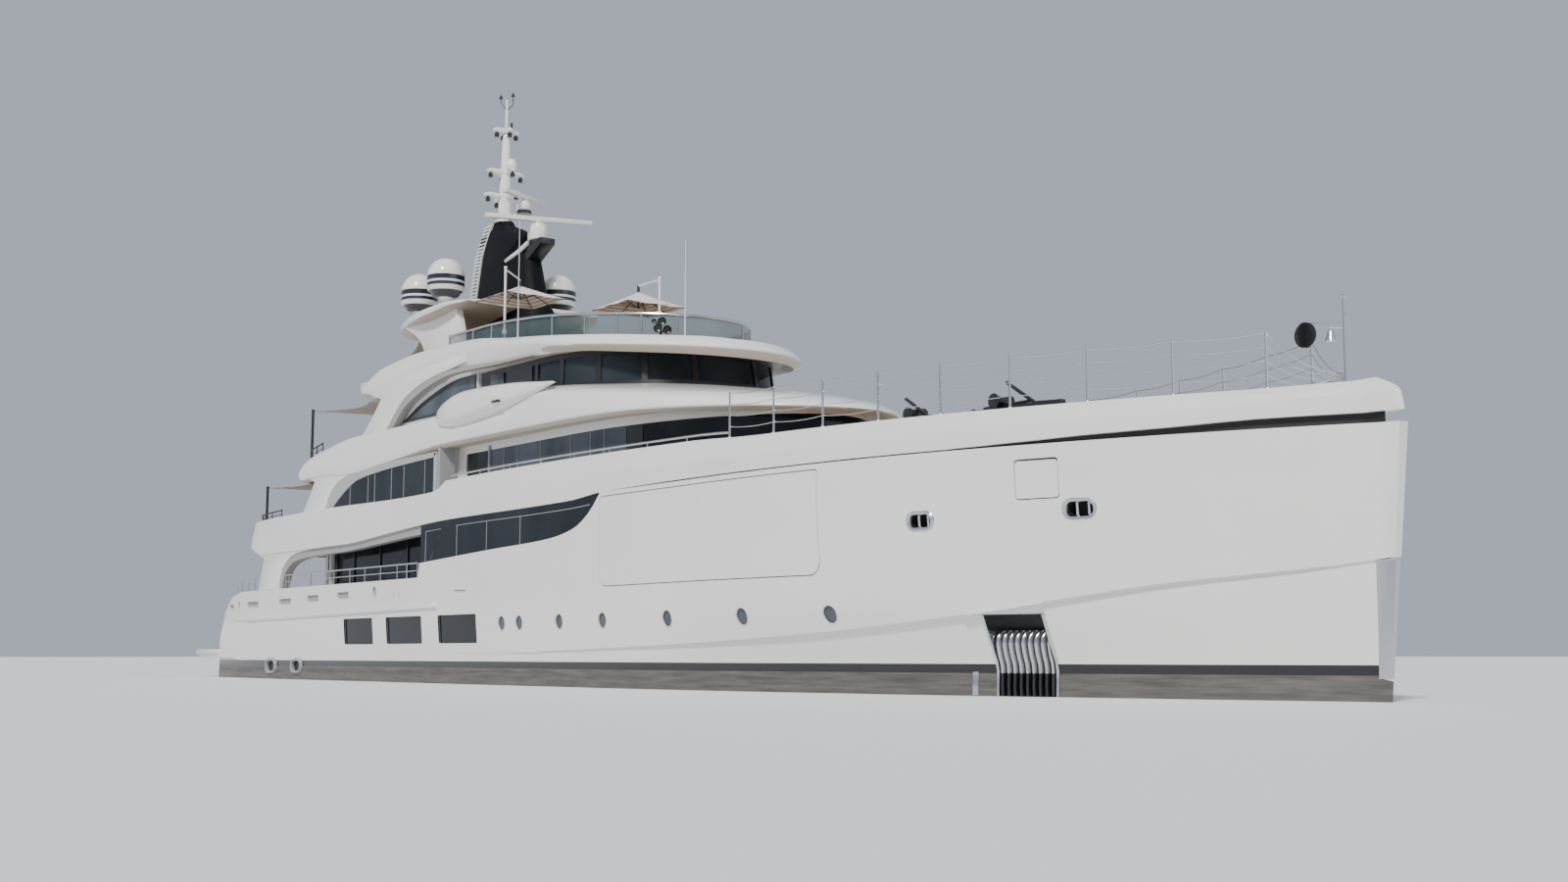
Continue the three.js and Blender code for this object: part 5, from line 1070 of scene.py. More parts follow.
def house_plan(z, out=0.0, aft=-5.6):
    tip = HOUSE_TIP + out
    half = round_front(HOUSE_HALF + out, HOUSE_FRONT, tip)
    return plan(z, aft, tip, half, HOUSE_FRONT, corner=0.2, straight=20)


def house_ring(name, foot, head, outer, inner, aft=-4.4):
    """A band round the fore part of the house."""
    return cut(loft(name, [house_plan(z, outer, aft) for z in (foot, head)], mirror=True),
               loft("inside", [house_plan(z, inner, aft - 2) for z in (foot - 0.1, head + 0.1)], mirror=True))


ARCHED_TOP = smooth_line([(-14.5, 6.95), (-13.96, 7.25), (-13.1, 7.63), (-12.1, 7.93), (-9.8, 8.12), (-7.5, 8.2),
                          (-5.3, 8.25)])
ARCHED_GLASS = ARCHED_TOP + [(-5.3, 6.95)]


def evenly(line, count):
    """The same line through evenly spaced points."""
    points = np.array([tuple(p) for p in line], float)
    along = np.concatenate([[0], np.cumsum(np.linalg.norm(np.diff(points, axis=0), axis=1))])
    return [tuple(float(np.interp(t, along, points[:, k])) for k in (0, 1)) for t in span(0, along[-1], count)]


def arched_frame():
    rings = [[(a, -5.05, b), (c, -5.05, d), (c, -4.66, d), (a, -4.66, b)]
             for (a, b), (c, d) in zip(evenly(UPPER_ARCH, 50), evenly(ARCHED_TOP, 50))]
    post = block("post", -5.3, -5.05, -5.05, -4.66, 6.9, 8.4)
    return [loft("frame", rings), post]


def upper_house():
    inner = block("aft", -14.2, -5.1, -4.7, 4.7, UPPER_FLOOR_Z, 8.72)
    fore = loft("fore", [house_plan(z) for z in (UPPER_FLOOR_Z, 8.72)], mirror=True)
    return cut(join(inner, fore), house_ring("belt", BELT_FOOT, BELT_HEAD, 0.3, -0.14),
               block("room", -14.05, -6, -4.4, 4.4, 6.42, 8.3), block("doorway", -15.2, -13.9, -1, 1, 6.42, 8.2),
               side_plate("arches", ARCHED_GLASS, -6, -4.3), side_plate("arches", ARCHED_GLASS, 4.3, 6))


finish(upper_house(), "upper_house", WHITE, replaces=["upper_deck_house"], bevel=0.015)
both("arched_frame", arched_frame(), FRAME_GREY)
both("arched_window", side_plate("glass", ARCHED_GLASS, -5.0, -4.96), GLASS,
     replaces=["upper_side_glass_{}"])
ARCH_MULLIONS = (-12.81, -11.11, -10.49, -8.98, -7.88, -6.1)
ARCH_HEAD = ((-13.1, -12.1, -9.8, -7.5, -5.3), (7.63, 7.98, 8.15, 8.22, 8.25))
mullions = [block("mullion", x - 0.014, x + 0.014, -5.012, -4.99, 6.97, float(np.interp(x, *ARCH_HEAD)))
            for x in ARCH_MULLIONS]
both("arched_window_mullions", mullions, GREY)

# The long pane takes the paler glass: painted reflection
BELT_PARTS = (("upper_side_pane", -4.98, -2.54, GLASS), ("upper_long_pane", -2.44, 6.2, PAINTED_REFLECTION_GLASS),
              ("upper_front_pane", 6.98, 12.5, GLASS), ("upper_pillar", 6.24, 6.94, BLACK))
for name, x0, x1, look_of in BELT_PARTS:
    band = house_ring(name, BELT_FOOT + 0.01, BELT_HEAD - 0.01, 0.01, -0.03)
    band = combine(band, [block("part", x0, x1, -6, 6, 7, 9)], "INTERSECT")
    finish(band, name + "s", look_of, replaces=["upper_front_glass"] if x1 > 12 else [])
house_side = round_front(HOUSE_HALF + 0.02, HOUSE_FRONT, HOUSE_TIP + 0.02)
bars = [tube("bar", [(x, -house_side(x), BELT_FOOT), (x, -house_side(x), BELT_HEAD)], 0.018, 6)
        for x in (-1.46, -0.46, 1.13, 3.16, 4.35, 5.1)]
bars += [block("post", -2.53, -2.45, -4.28, -4.16, BELT_FOOT - 0.9, BELT_HEAD + 0.15),
         block("post", -5.08, -4.92, -4.99, -4.4, BELT_FOOT - 0.28, BELT_HEAD + 0.3)]
both("upper_window_bars", bars, GREY)

# Wing stations on the bridge deck, each a pod that swells from the bulwark to a point forward
POD_TOP = curve([(-5.55, 9.86), (-4.6, 10.22), (-2.9, 10.46), (0, 10.36), (3.0, 10.08)])
POD_FOOT = curve([(-5.55, 9.58), (-4.9, 9.32), (-3.4, 9.18), (-1.5, 9.28), (1.0, 9.62), (3.0, 10.0)])
POD_OUT = curve([(-5.55, 0.03), (-4.9, 0.3), (-3.5, 0.52), (-1.5, 0.55), (1.0, 0.32), (3.0, 0.02)])


def wing_pod():
    rings = []
    for x in span(-5.55, 3.0, 50):
        top, foot, out = POD_TOP(x), POD_FOOT(x), POD_OUT(x)
        middle, half = (top + foot) / 2, (top - foot) / 2
        ring = [(x, -4.74, foot + 0.05)]
        for turn in span(0, math.pi, 14):
            ring.append((x, -4.86 - out * math.sin(turn) ** 0.8, middle - half * math.cos(turn)))
        rings.append(ring + [(x, -4.74, top - 0.02)])
    return loft("pod", rings)


both("wing_station", wing_pod(), WHITE)
both("wing_light", block("light", -0.35, 0.1, -5.36, -5.2, 9.67, 9.75), BLACK, bevel=0.01)

# Wheelhouse
WHEEL_HALF, WHEEL_FRONT, WHEEL_TIP, SILL, HEAD = 4.3, 1.2, 6.7, 10.05, 10.95


def wheel_plan(z, inset=0.0, aft=-3.2):
    tip = WHEEL_TIP - inset - 0.25 * (z - 9)
    half = round_front(WHEEL_HALF - inset, WHEEL_FRONT, tip)
    return plan(z, aft + inset, tip, half, WHEEL_FRONT, corner=0.15, straight=10)


def wheel_shell(name, inset, foot, head):
    return loft(name, [wheel_plan(foot, inset), wheel_plan(head, inset)], mirror=True)


PILLARS = (78, 60, 43, 27, 11.5)


def wheelhouse():
    belt = cut(wheel_shell("belt", -0.3, SILL, HEAD), block("behind", -6, WHEEL_FRONT - 0.6, -6, 6, 9, 12))
    for degrees in PILLARS:
        for sign in (-1, 1):
            pillar = block("pillar", 0, 7, -0.1, 0.1, 9, 12)
            belt = cut(belt, moved(pillar, (WHEEL_FRONT - 1.2, 0, 0), sign * degrees))
    shell = cut(wheel_shell("shell", 0, 8.96, 11.15), wheel_shell("inside", 0.16, 9.05, 11.03), belt)
    return cut(shell, *[block("door", -2.3, -1.4, y0, y1, 9.05, 10.95) for y0, y1 in ((-5, -3.9), (3.9, 5))])


finish(wheelhouse(), "wheelhouse_shell", BLACK, replaces=["wheelhouse"])
panes = cut(wheel_shell("panes", 0.05, SILL - 0.05, HEAD + 0.05), wheel_shell("inside", 0.08, SILL - 0.2, HEAD + 0.2))
finish(cut(panes, block("behind", -6, WHEEL_FRONT - 0.9, -6, 6, 9, 12)), "wheelhouse_panes", PANE,
       replaces=["wheelhouse_glass"])
console = join(block("console", 3.4, 4.1, -1.9, 1.9, 9.0, 9.75), block("screens", 3.3, 3.6, -1.7, 1.7, 9.7, 9.95))
finish(console, "helm", GREY, bevel=0.04)
finish(loft("floor", [wheel_plan(z, 0.2) for z in (9.05, 9.07)], mirror=True), "wheelhouse_floor", TEAK)
both("bridge_door", block("door", -2.34, -1.36, -4.357, -4.312, 8.962, 10.98), PAINTED_REFLECTION_GLASS, body="wheelhouse_door_{}",
     replaces=["wheelhouse_door_{}"], bevel=0.01)

# Lounge behind it
LOUNGE_ARCH = bend([(-9.1, 10.06), (-7.9, 10.4), (-6.6, 10.72), (-5.5, 10.95), (-4.5, 11.1), (-3.4, 11.1),
                    (-3.4, 10.06)], (0, 5, 6))
LOUNGE_FRAME = bend([(-9.35, 9.98), (-8.0, 10.5), (-6.7, 10.83), (-5.5, 11.06), (-4.4, 11.14), (-3.3, 11.14),
                     (-3.3, 9.98)], (0, 5, 6))
lounge = cut(block("lounge", -10.4, -3.2, -4.4, 4.4, 8.96, 11.15), side_plate("arch", LOUNGE_ARCH, -4.6, -4.3),
             side_plate("arch", LOUNGE_ARCH, 4.3, 4.6))
finish(lounge, "lounge", WHITE, replaces=["sky_lounge"], bevel=0.02)
both("lounge_window", side_plate("glass", LOUNGE_ARCH, -4.41, -4.31), PAINTED_REFLECTION_GLASS, replaces=["lounge_glass_{}"])
both("lounge_window_frame", cut(side_plate("frame", LOUNGE_FRAME, -4.44, -4.36),
                                side_plate("glass", LOUNGE_ARCH, -5, -4)), BLACK)


# Windbreak round the sun deck
WIND_HALF, WIND_FRONT, WIND_TIP, POST_OUT = 3.95, -1.2, 5.6, 0.02


def wind_plan(z, inset=0.0):
    half = round_front(WIND_HALF - inset, WIND_FRONT, WIND_TIP - inset)
    return plan(z, -9.5 + inset, WIND_TIP - inset, half, WIND_FRONT, corner=1.0, straight=20)


WIND_TOP = curve([(-9.5, 13.05), (-3.5, 13.0), (0, 12.8), (5.6, 12.35)])
wind = cut(loft("wind", [wind_plan(SUN_FLOOR_Z), wind_plan(raised(WIND_TOP, -0.03))], mirror=True),
           loft("inside", [wind_plan(z, 0.03) for z in (11, 14)], mirror=True), block("aft", -12, -6.5, -6, 6, 11, 14))
finish(wind, "windbreak_glass", CLEAR, replaces=["windbreak"])
wind_side = round_front(WIND_HALF + POST_OUT, WIND_FRONT, WIND_TIP + POST_OUT)
posts = [upright(x, -wind_side(x), SUN_FLOOR_Z, WIND_TOP(x), 0.035)
         for x in (-6.4, -4.49, -3.05, -1.08, 0.99, 2.48, 3.66, 4.39, 5.2)]
reach = WIND_TIP + POST_OUT - WIND_FRONT
cap_x = span(-6.45, WIND_FRONT, 8) + [WIND_FRONT + reach * math.sin(t) for t in span(0, math.pi / 2, 24)[1:]]
cap = tube("cap", [(x, -wind_side(x), WIND_TOP(x)) for x in cap_x], 0.05, 10)
both("windbreak_rail", posts + [cap], STEEL)

# Hardtop, with its tan underside and four domes. Each row has the place along, underside, thickness, half-breadth
HARDTOP = [(-15.9, 14.55, 0.25, 0.7), (-15.2, 14.4, 0.5, 1.7), (-13.5, 14.25, 0.62, 2.7), (-11.5, 14.2, 0.66, 3.25),
           (-9.5, 14.25, 0.6, 3.5), (-8, 14.4, 0.42, 3.45), (-6.9, 14.6, 0.16, 2.9)]


def hardtop():
    rings = []
    for x, foot, thick, half in HARDTOP:
        ring = []
        for turn in turns(24):
            across = math.copysign(abs(math.cos(turn)) ** 0.35, math.cos(turn))
            up = math.copysign(abs(math.sin(turn)) ** 0.7, math.sin(turn))
            ring.append((x, half * across, foot + thick * (0.5 + 0.5 * up)))
        rings.append(ring)
    return loft("hardtop", rounded(rings, 5))


HARDTOP_LEG = bend([(-12.6, 14.45), (-10.9, 13.5), (-9.9, 11.75), (-7.6, 11.75), (-7.5, 13.4), (-7.9, 14.5)],
                   (0, 2, 3, 5))
finish(hardtop(), "hardtop_wing", WHITE, replaces=["hardtop"], under=TAN)
both("hardtop_leg", side_plate("leg", HARDTOP_LEG, -3.0, -2.7), WHITE, bevel=0.03)
DOME_Y, DOME_RADIUS, DOME_FOOT_Z = 2.58, 0.75, 14.7
DOMES = (("", -9.65, 16.08), ("aft_", -12, 15.85))


def placed(made, x, y, z):
    made.location = (SCALE * x, SCALE * y, SCALE * z)
    bpy.context.view_layer.update()
    return made


for place_of, x, centre in DOMES:
    for side, y in (("starboard", -DOME_Y), ("port", DOME_Y)):
        shell = [(0, -0.86), (0.42, -0.86), (0.5, -0.82), (0.6, -0.66), (0.7, -0.6), (DOME_RADIUS, -0.5)]
        shell += [(DOME_RADIUS * math.cos(t), DOME_RADIUS * math.sin(t)) for t in span(0, math.pi / 2, 14)]
        finish(placed(turned("dome", shell), x, y, centre), f"dome_{place_of}{side}", DOME_PAINT)
        low = DOME_FOOT_Z - centre
        foot = turned("foot", [(0, low), (0.2, low), (0.16, 14.9 - centre), (0.16, -0.95), (0.3, -0.86), (0, -0.86)])
        finish(placed(foot, x, y, centre), f"dome_foot_{place_of}{side}", WHITE)

# Mast. The trunk's rows: height, aft edge, fore edge, half-breadth
TRUNK = [(SUN_FLOOR_Z, -11.2, -5.6, 1.05), (14.3, -11.2, -6.0, 0.95), (15.0, -11.2, -6.5, 0.8),
         (17.3, -11.0, -7.1, 0.6), (17.8, -10.93, -7.55, 0.56), (18.1, -10.87, -8.1, 0.52), (18.4, -10.68, -8.9, 0.45),
         (18.66, -10.5, -9.12, 0.4)]


def mast_trunk():
    rings = []
    for z, aft, fore, half in TRUNK:
        side = [(aft, -0.8 * half), (aft + 0.2, -half), (fore - 1.4, -half), (fore - 0.5, -0.8 * half),
                (fore - 0.08, -0.4 * half), (fore, -0.15 * half)]
        rings.append([(x, y, z) for x, y in side] + [(x, -y, z) for x, y in side[::-1]])
    return loft("trunk", rings, mirror=True)


finish(mast_trunk(), "mast_trunk_shell", MAST_BLACK, replaces=["mast_trunk"], bevel=0.03)
LOUVRE_Z, SLATS, SLAT_PITCH = (15.0, 17.3, 18.66), 26, 0.145
louvre = []
for side in (-1, 1):
    for z in (14.9 + i * SLAT_PITCH for i in range(SLATS)):
        y = side * float(np.interp(z, LOUVRE_Z, (0.8, 0.6, 0.4)))
        aft = float(np.interp(z, LOUVRE_Z, (-11.2, -11.0, -10.5)))
        louvre.append(block("slat", aft + 0.03, aft + 0.62, y - 0.03, y + 0.03, z, z + 0.09))
    edge = ((0.6, -0.045), (0.68, -0.045), (0.68, 0.045), (0.6, 0.045))
    louvre.append(loft("edge", [[(x + a, side * half + b, z) for a, b in edge]
                                for z, x, half in ((14.8, -11.2, 0.83), (17.3, -11.0, 0.61), (18.64, -10.5, 0.41))]))
finish(louvre, "mast_louvre", PALE)
bracket = side_plate("bracket", [(-8, 16.3), (-7.1, 16.62), (-6.05, 17.12), (-6.02, 17.38), (-8, 17.38)], -0.34, 0.34)
finish(bracket, "radar_bracket", BLACK, bevel=0.04)
both("radar_strut", tube("strut", [(-8.3, -0.62, 16.75), (-7.5, -0.5, 17.0), (-6.95, -0.36, 17.3)], 0.09), WHITE)


def radar_unit(x, foot, width, height):
    top = foot + height
    body = turned("unit", [(0, foot), (width * 0.85, foot), (width * 0.98, foot + 0.06), (width, foot + 0.18),
                           (width, top - 0.2), (width * 0.9, top - 0.08), (width * 0.5, top), (0, top)], x, 0, 32)
    gear = block("gear", x - width * 1.25, x, -width * 0.75, width * 0.75, foot + 0.04, top - 0.12)
    return join(body, gear)


# Each radar: its place, the size of its turning unit, the blade's length and how far it is turned
RADARS = (("large_radar", -6.8, 17.38, 0.34, 0.74, 4.3, 72), ("small_radar", -8.0, 18.86, 0.26, 0.42, 2.6, 114))
for name, x, foot, width, height, length, turn in RADARS:
    finish(radar_unit(x, foot, width, height), f"{name}_unit", WHITE, bevel=0.02)
    plinth = [(0, foot - 0.14), (width * 1.15, foot - 0.14), (width * 1.15, foot - 0.01), (0, foot - 0.01)]
    finish(turned("plinth", plinth, x), f"{name}_plinth", BLACK)
    base = foot + height + 0.012
    scan = block("blade", -length / 2, length / 2, -0.12, 0.12, base + 0.055, base + 0.225)
    hub = turned("hub", [(0, base), (0.13, base), (0.16, base + 0.03), (0.13, base + 0.1), (0, base + 0.1)], 0, 0, 24)
    finish(moved(join(scan, hub), (x, 0, 0), turn), f"{name}_blade", PALE, body=name, replaces=[f"{name}_scanner"],
           bevel=0.03)

# Pole, with spreaders: height, reach aft, forward and to the sides
POLE_X = -9.63
SPREADERS = ((19.72, 0.9, 1.1, 0.95), (20.75, 0.5, 0.75, 0.85), (22.5, 0.45, 0.45, 0.6))
pole = turned("pole", [(0, 18.66), (0.46, 18.66), (0.44, 18.72), (0.3, 18.78), (0.24, 20), (0.15, 22.3), (0.1, 22.45),
                       (0.06, 22.5), (0.05, 23.9), (0, 23.92)], POLE_X, 0, 24)
finish(pole, "pole", WHITE, replaces=["mast_pole"])
arms, lamps = [], []
for z, aft, fore, half in SPREADERS:
    for reach, a, b in ((aft, -1, 0), (fore, 1, 0), (half, 0, 1), (half, 0, -1)):
        points = [(POLE_X + a * 0.1, b * 0.1, z + 0.03), (POLE_X + a * reach * 0.75, b * reach * 0.75, z + 0.05),
                  (POLE_X + a * reach, b * reach, z + 0.03)]
        arms.append(tube("arm", points, [0.13, 0.11, 0.05], 10))
        lamp = [(0, z - 0.26), (0.09, z - 0.26), (0.1, z - 0.1), (0.05, z - 0.06), (0.05, z + 0.02), (0, z + 0.02)]
        lamps.append(turned("lamp", lamp, POLE_X + a * (reach - 0.16), b * (reach - 0.16), 16))
    lamps.append(turned("lamp", [(0, z + 0.1), (0.05, z + 0.1), (0.05, z + 0.35), (0, z + 0.4)], POLE_X + 0.25, 0.1,
                        12))
arms.append(block("shelf", POLE_X - 0.1, -7.78, -0.12, 0.12, 18.74, 18.84))
finish(arms, "spreaders", WHITE)
finish(lamps, "mast_lamps", BLACK)
finish(turned("dome", [(0, 20.8), (0.17, 20.8), (0.21, 20.86), (0.22, 21.02), (0.19, 21.16), (0.11, 21.26), (0, 21.3)],
              POLE_X + 0.5, 0, 24), "mast_dome", WHITE)
AERIALS = ((-0.28, 24.05), (0.28, 24.25))
aerials = [tube("aerial", [(POLE_X, y * 0.2, 23.5), (POLE_X, y, 23.75), (POLE_X, y, top)], 0.018, 6)
           for y, top in AERIALS]
finish(aerials, "aerials", DARK_STEEL)
cups = [turned("cup", [(0, top - 0.18), (0.1, top - 0.15), (0.03, top - 0.02), (0, top + 0.05)], POLE_X, y, 12)
        for y, top in AERIALS]
finish(cups, "aerial_heads", BLACK)

# Umbrellas: square canopies on eight ribs, striped round, on poles that stand beside them. Each row has the
# crown's place, half the width, the heights of brim and crown, and how far away the pole stands
UMBRELLAS = (("umbrella_aft", -4.2, -2.2, 1.25, 14.3, 14.85, (1.35, -1.35)),
             ("umbrella_fore", 2.2, -1.0, 1.2, 13.1, 13.7, (1.35, 0)))
CANOPY_CELLS = 24
STRIPES = 7


def sheet_mesh(name, rows, coords=None):
    """A grid of points as one open sheet, with texture coordinates where they are given."""
    made = bpy.data.meshes.new(name)
    across = len(rows[0])
    points = [tuple(SCALE * c for c in p) for row in rows for p in row]
    faces = [(r * across + i, r * across + i + 1, (r + 1) * across + i + 1, (r + 1) * across + i)
             for r in range(len(rows) - 1) for i in range(across - 1)]
    made.from_pydata(points, [], faces)
    if coords:
        flat = [c for row in coords for c in row]
        layer = made.uv_layers.new(name="stripes")
        for loop in made.loops:
            layer.data[loop.index].uv = flat[loop.vertex_index]
    return linked(name, made)


def canopy(name, x, y, half, brim, crown):
    rows, coords = [], []
    for v in span(-1, 1, CANOPY_CELLS):
        row, marks = [], []
        for u in span(-1, 1, CANOPY_CELLS):
            reach = max(abs(u), abs(v))
            turn = math.degrees(math.atan2(v, u)) % 45 if reach else 0
            between_ribs = math.sin(math.radians(turn * 4)) ** 2
            scallop = 0.045 * reach * between_ribs
            z = brim + (crown - brim) * (1 - reach) ** 1.08 - 0.5 * scallop
            row.append((x + half * u * (1 - 0.4 * scallop), y + half * v * (1 - 0.4 * scallop), z))
            marks.append((u, reach * STRIPES))
        rows.append(row)
        coords.append(marks)
    return sheet_mesh(name, rows, coords)


for name, x, y, half, brim, crown, (px, py) in UMBRELLAS:
    cloth = finish(canopy(name, x, y, half, brim, crown), f"{name}_cloth", STRIPED, replaces=[f"{name}_canopy"])
    px, py = x + px, y + py
    arm = crown + 0.22
    ribs = [upright(x, y, crown + 0.02, arm + 0.02, 0.05, 10)]
    for k in range(8):
        a = math.radians(45 * k)
        reach = half * (1.38 if k % 2 else 0.98)
        end = (x + reach * math.cos(a), y + reach * math.sin(a), brim - 0.03)
        ribs.append(tube("rib", [(x, y, crown - 0.04), end], 0.014, 6))
        middle = [0.5 * (p + q) for p, q in zip((x, y, crown - 0.04), end)]
        ribs.append(tube("strut", [(x, y, brim + 0.05), middle], 0.012, 6))
    ribs.append(upright(x, y, brim, crown, 0.025))
    finish(ribs, f"{name}_ribs", DARK_STEEL)
    deck = SUN_FLOOR_Z
    base = [(0, deck), (0.32, deck), (0.32, deck + 0.06), (0.28, deck + 0.1), (0, deck + 0.1)]
    stand = [turned("base", base, px, py, 24), upright(px, py, deck + 0.05, arm + 0.06, 0.045, 12),
             tube("arm", [(px, py, arm), (x, y, arm)], 0.032, 10),
             turned("cap", [(0, arm + 0.04), (0.06, arm + 0.04), (0.06, arm + 0.1), (0, arm + 0.13)], px, py, 16),
             turned("crank", [(0, deck + 1.1), (0.09, deck + 1.1), (0.09, deck + 1.25), (0, deck + 1.25)], px, py, 16)]
    finish(stand, f"{name}_stand", WHITE, replaces=[f"{name}_pole"])
    side = 2 * math.hypot(half, crown - brim) * SCALE

# Awnings: tan sails with hollow edges, from the deck above to a pole at each quarter. Each has its aft and its fore
# edge, as a place along and a height, and the half-breadths there
AWNINGS = (("awning_sun_deck", (-15.2, 13.1), (-12.2, 14.3), 2.2, 2.4),
           ("awning_bridge_deck", (-18.2, 11.4), (-13.0, 11.25), 4.4, 4.2),
           ("awning_upper_deck", (-22.6, 8.4), (-18.5, 8.45), 4.6, 4.4))
SAIL_STEPS = 20


def sail(name, aft, fore, half_aft, half_fore):
    rows, coords = [], []
    for u in span(0, 1, SAIL_STEPS):
        x, z = aft[0] + (fore[0] - aft[0]) * u, aft[1] + (fore[1] - aft[1]) * u
        half = half_aft + (half_fore - half_aft) * u
        pull = 1 - 0.16 * math.sin(math.pi * u)
        row, marks = [], []
        for v in span(-1, 1, SAIL_STEPS):
            hollow = 0.13 * (fore[0] - aft[0]) * (1 - u) * (1 - v * v)
            dip = -0.10 * math.sin(math.pi * u) * (1 - v * v)
            row.append((x + hollow, half * pull * v, z + 0.025 + dip * 0.3))
            marks.append((u, v))
        rows.append(row)
        coords.append(marks)
    return sheet_mesh(name, rows, coords)


for name, aft, fore, half_aft, half_fore in AWNINGS:
    cloth = finish(sail(name, aft, fore, half_aft, half_fore), f"{name}_cloth", CANVAS, replaces=[name])
    length = math.hypot(fore[0] - aft[0], fore[1] - aft[1])
    edge = [tuple(v.co / SCALE) for v in cloth.data.vertices[:SAIL_STEPS + 1]]
    finish(tube("rope", edge, 0.014, 6), f"{name}_rope", CANVAS)


# Rails
def deck_edge(aft, corner, half, fore, steps=10):
    """A rail's plan round an aft deck, from forward to starboard round to port."""
    side = [(fore, half)] + [(aft + corner * (1 - math.cos(t)), half - corner + corner * math.sin(t))
                             for t in span(math.pi / 2, 0.15, steps)] + [(aft, 0)]
    return [(x, -y) for x, y in side] + side[::-1][1:]


def aft_rail(name, aft, corner, half, fore, edge, height, poles, replaces, posts):
    line = deck_edge(aft, corner, half, fore)
    parts = [tube("top", [(x, y, edge(x) + height) for x, y in line], 0.034),
             tube("middle", [(x, y, edge(x) + height * 0.5) for x, y in line], 0.018, 6)]
    parts += [upright(x, s * y, edge(x) - 0.02, edge(x) + height, 0.024) for x, y in posts for s in (-1, 1)]
    finish(parts, f"{name}_rails", DARK_STEEL, replaces=replaces)
    x, y, top = poles
    stands = [upright(x, s * y, edge(x) - 0.05, top, 0.06, 12) for s in (-1, 1)]
    cap = [(0, top), (0.075, top), (0.075, top + 0.05), (0, top + 0.06)]
    stands += [turned("cap", cap, x, s * y, 12) for s in (-1, 1)]
    finish(stands, f"{name}_poles", BLACK)


aft_rail("upper", -23.72, 1.0, 4.75, -20.6, UPPER_UPPER, 0.36, (-22.6, 4.66, 8.44), ["upper_aft_rail"],
         [(-20.6, 4.75), (-21.7, 4.75), (-22.72, 4.75), (-23.43, 4.46), (-23.72, 3.7), (-23.72, 1.9)])
aft_rail("bridge", -18.5, 1.0, 4.72, -16.4, BRIDGE_UPPER, 0.42, (-18.2, 4.46, 11.44), ["bridge_aft_rail"],
         [(-16.4, 4.72), (-17.0, 4.72), (-17.5, 4.72), (-18.2, 4.43), (-18.5, 3.67), (-18.5, 1.9)])

SIDE_POSTS = (-18.82, -16.5, -14.62, -14.11, -12.56, -11.14, -9.69, -8.22, -7.39, -6.5)
SIDE_RAIL_Y, SIDE_RAIL_AFT, SIDE_RAIL_FOOT, SIDE_RAIL_TOP = -5.02, -19.2, 3.84, 4.41
rail = [upright(x, SIDE_RAIL_Y, SIDE_RAIL_FOOT, SIDE_RAIL_TOP, 0.024) for x in SIDE_POSTS]
rail += [tube("bar", [(x, SIDE_RAIL_Y, z) for x in (SIDE_RAIL_AFT, SIDE_POSTS[-1])], radius, sides)
         for z, radius, sides in ((SIDE_RAIL_TOP, 0.032, 8), (4.13, 0.02, 6))]
rail.append(upright(SIDE_RAIL_AFT, SIDE_RAIL_Y, SIDE_RAIL_FOOT, SIDE_RAIL_TOP, 0.024))
both("side_rail", rail, STEEL, replaces=["side_deck_rail_{}"])
quarter_rail = [tube("top", [(-26.7, -4.42, 4.0), (-26.3, -4.5, 4.24), (-23.4, -4.78, 4.32)], 0.028)]
quarter_rail += [upright(x, y, SHEER_AFT(x) - 0.03, 4.26, 0.022)
                 for x, y in ((-26.3, -4.5), (-25.4, -4.6), (-24.4, -4.69), (-23.4, -4.78))]
both("quarter_rail", quarter_rail, STEEL)

STANCHIONS, STANCHION_TOP, RAIL_FIRST, RAIL_PITCH = 9, 1.3, 12.9, 1.98
WIRES = (1.0, 0.75, 0.5, 0.25)


def bow_edge(x, inset=0.1, tip=31.06):
    return -(bow_half(TUMBLEHOME(x), tip)(x) - inset)


def bow_rail():
    feet = [(x, bow_edge(x), UPPER_UPPER(x)) for x in (RAIL_FIRST + RAIL_PITCH * i for i in range(STANCHIONS))]
    parts = []
    for x, y, z in feet:
        parts.append(upright(x, y, z - 0.02, z + STANCHION_TOP + 0.03, [0.034, 0.026]))
        parts.append(turned("foot", [(0, z - 0.01), (0.07, z - 0.01), (0.06, z + 0.03), (0, z + 0.04)], x, y, 12))
    for share in WIRES:
        tops = [(x, y, z + STANCHION_TOP * share) for x, y, z in feet] + [(30.1, -0.16, 7.24 + 0.12 * share)]
        points = []
        for i, ((x0, y0, z0), (x1, y1, z1)) in enumerate(zip(tops, tops[1:])):
            steps, sag = (6, 0.05) if i < len(feet) - 1 else (8, 0.22)
            points += [(x0 + (x1 - x0) * t, y0 + (y1 - y0) * t, z0 + (z1 - z0) * t - sag * 4 * t * (1 - t))
                       for t in span(0, 1, steps)[:-1]]
        parts.append(tube("wire", points + [tops[-1]], 0.016 if share == 1.0 else 0.012, 6))
    return parts


def hand_rail():
    line = [(x, bow_edge(x, tip=31), UPPER_UPPER(x) + 0.16) for x in span(-4, RAIL_FIRST, 24)]
    feet = [upright(x, y, z - 0.18, z, 0.022) for x, y, z in line[::3]]
    return [tube("rail", line, 0.035)] + feet


both("bow_stanchions", bow_rail(), STEEL, replaces=["bow_rail_{}"])
both("hand_rail", hand_rail(), STEEL)

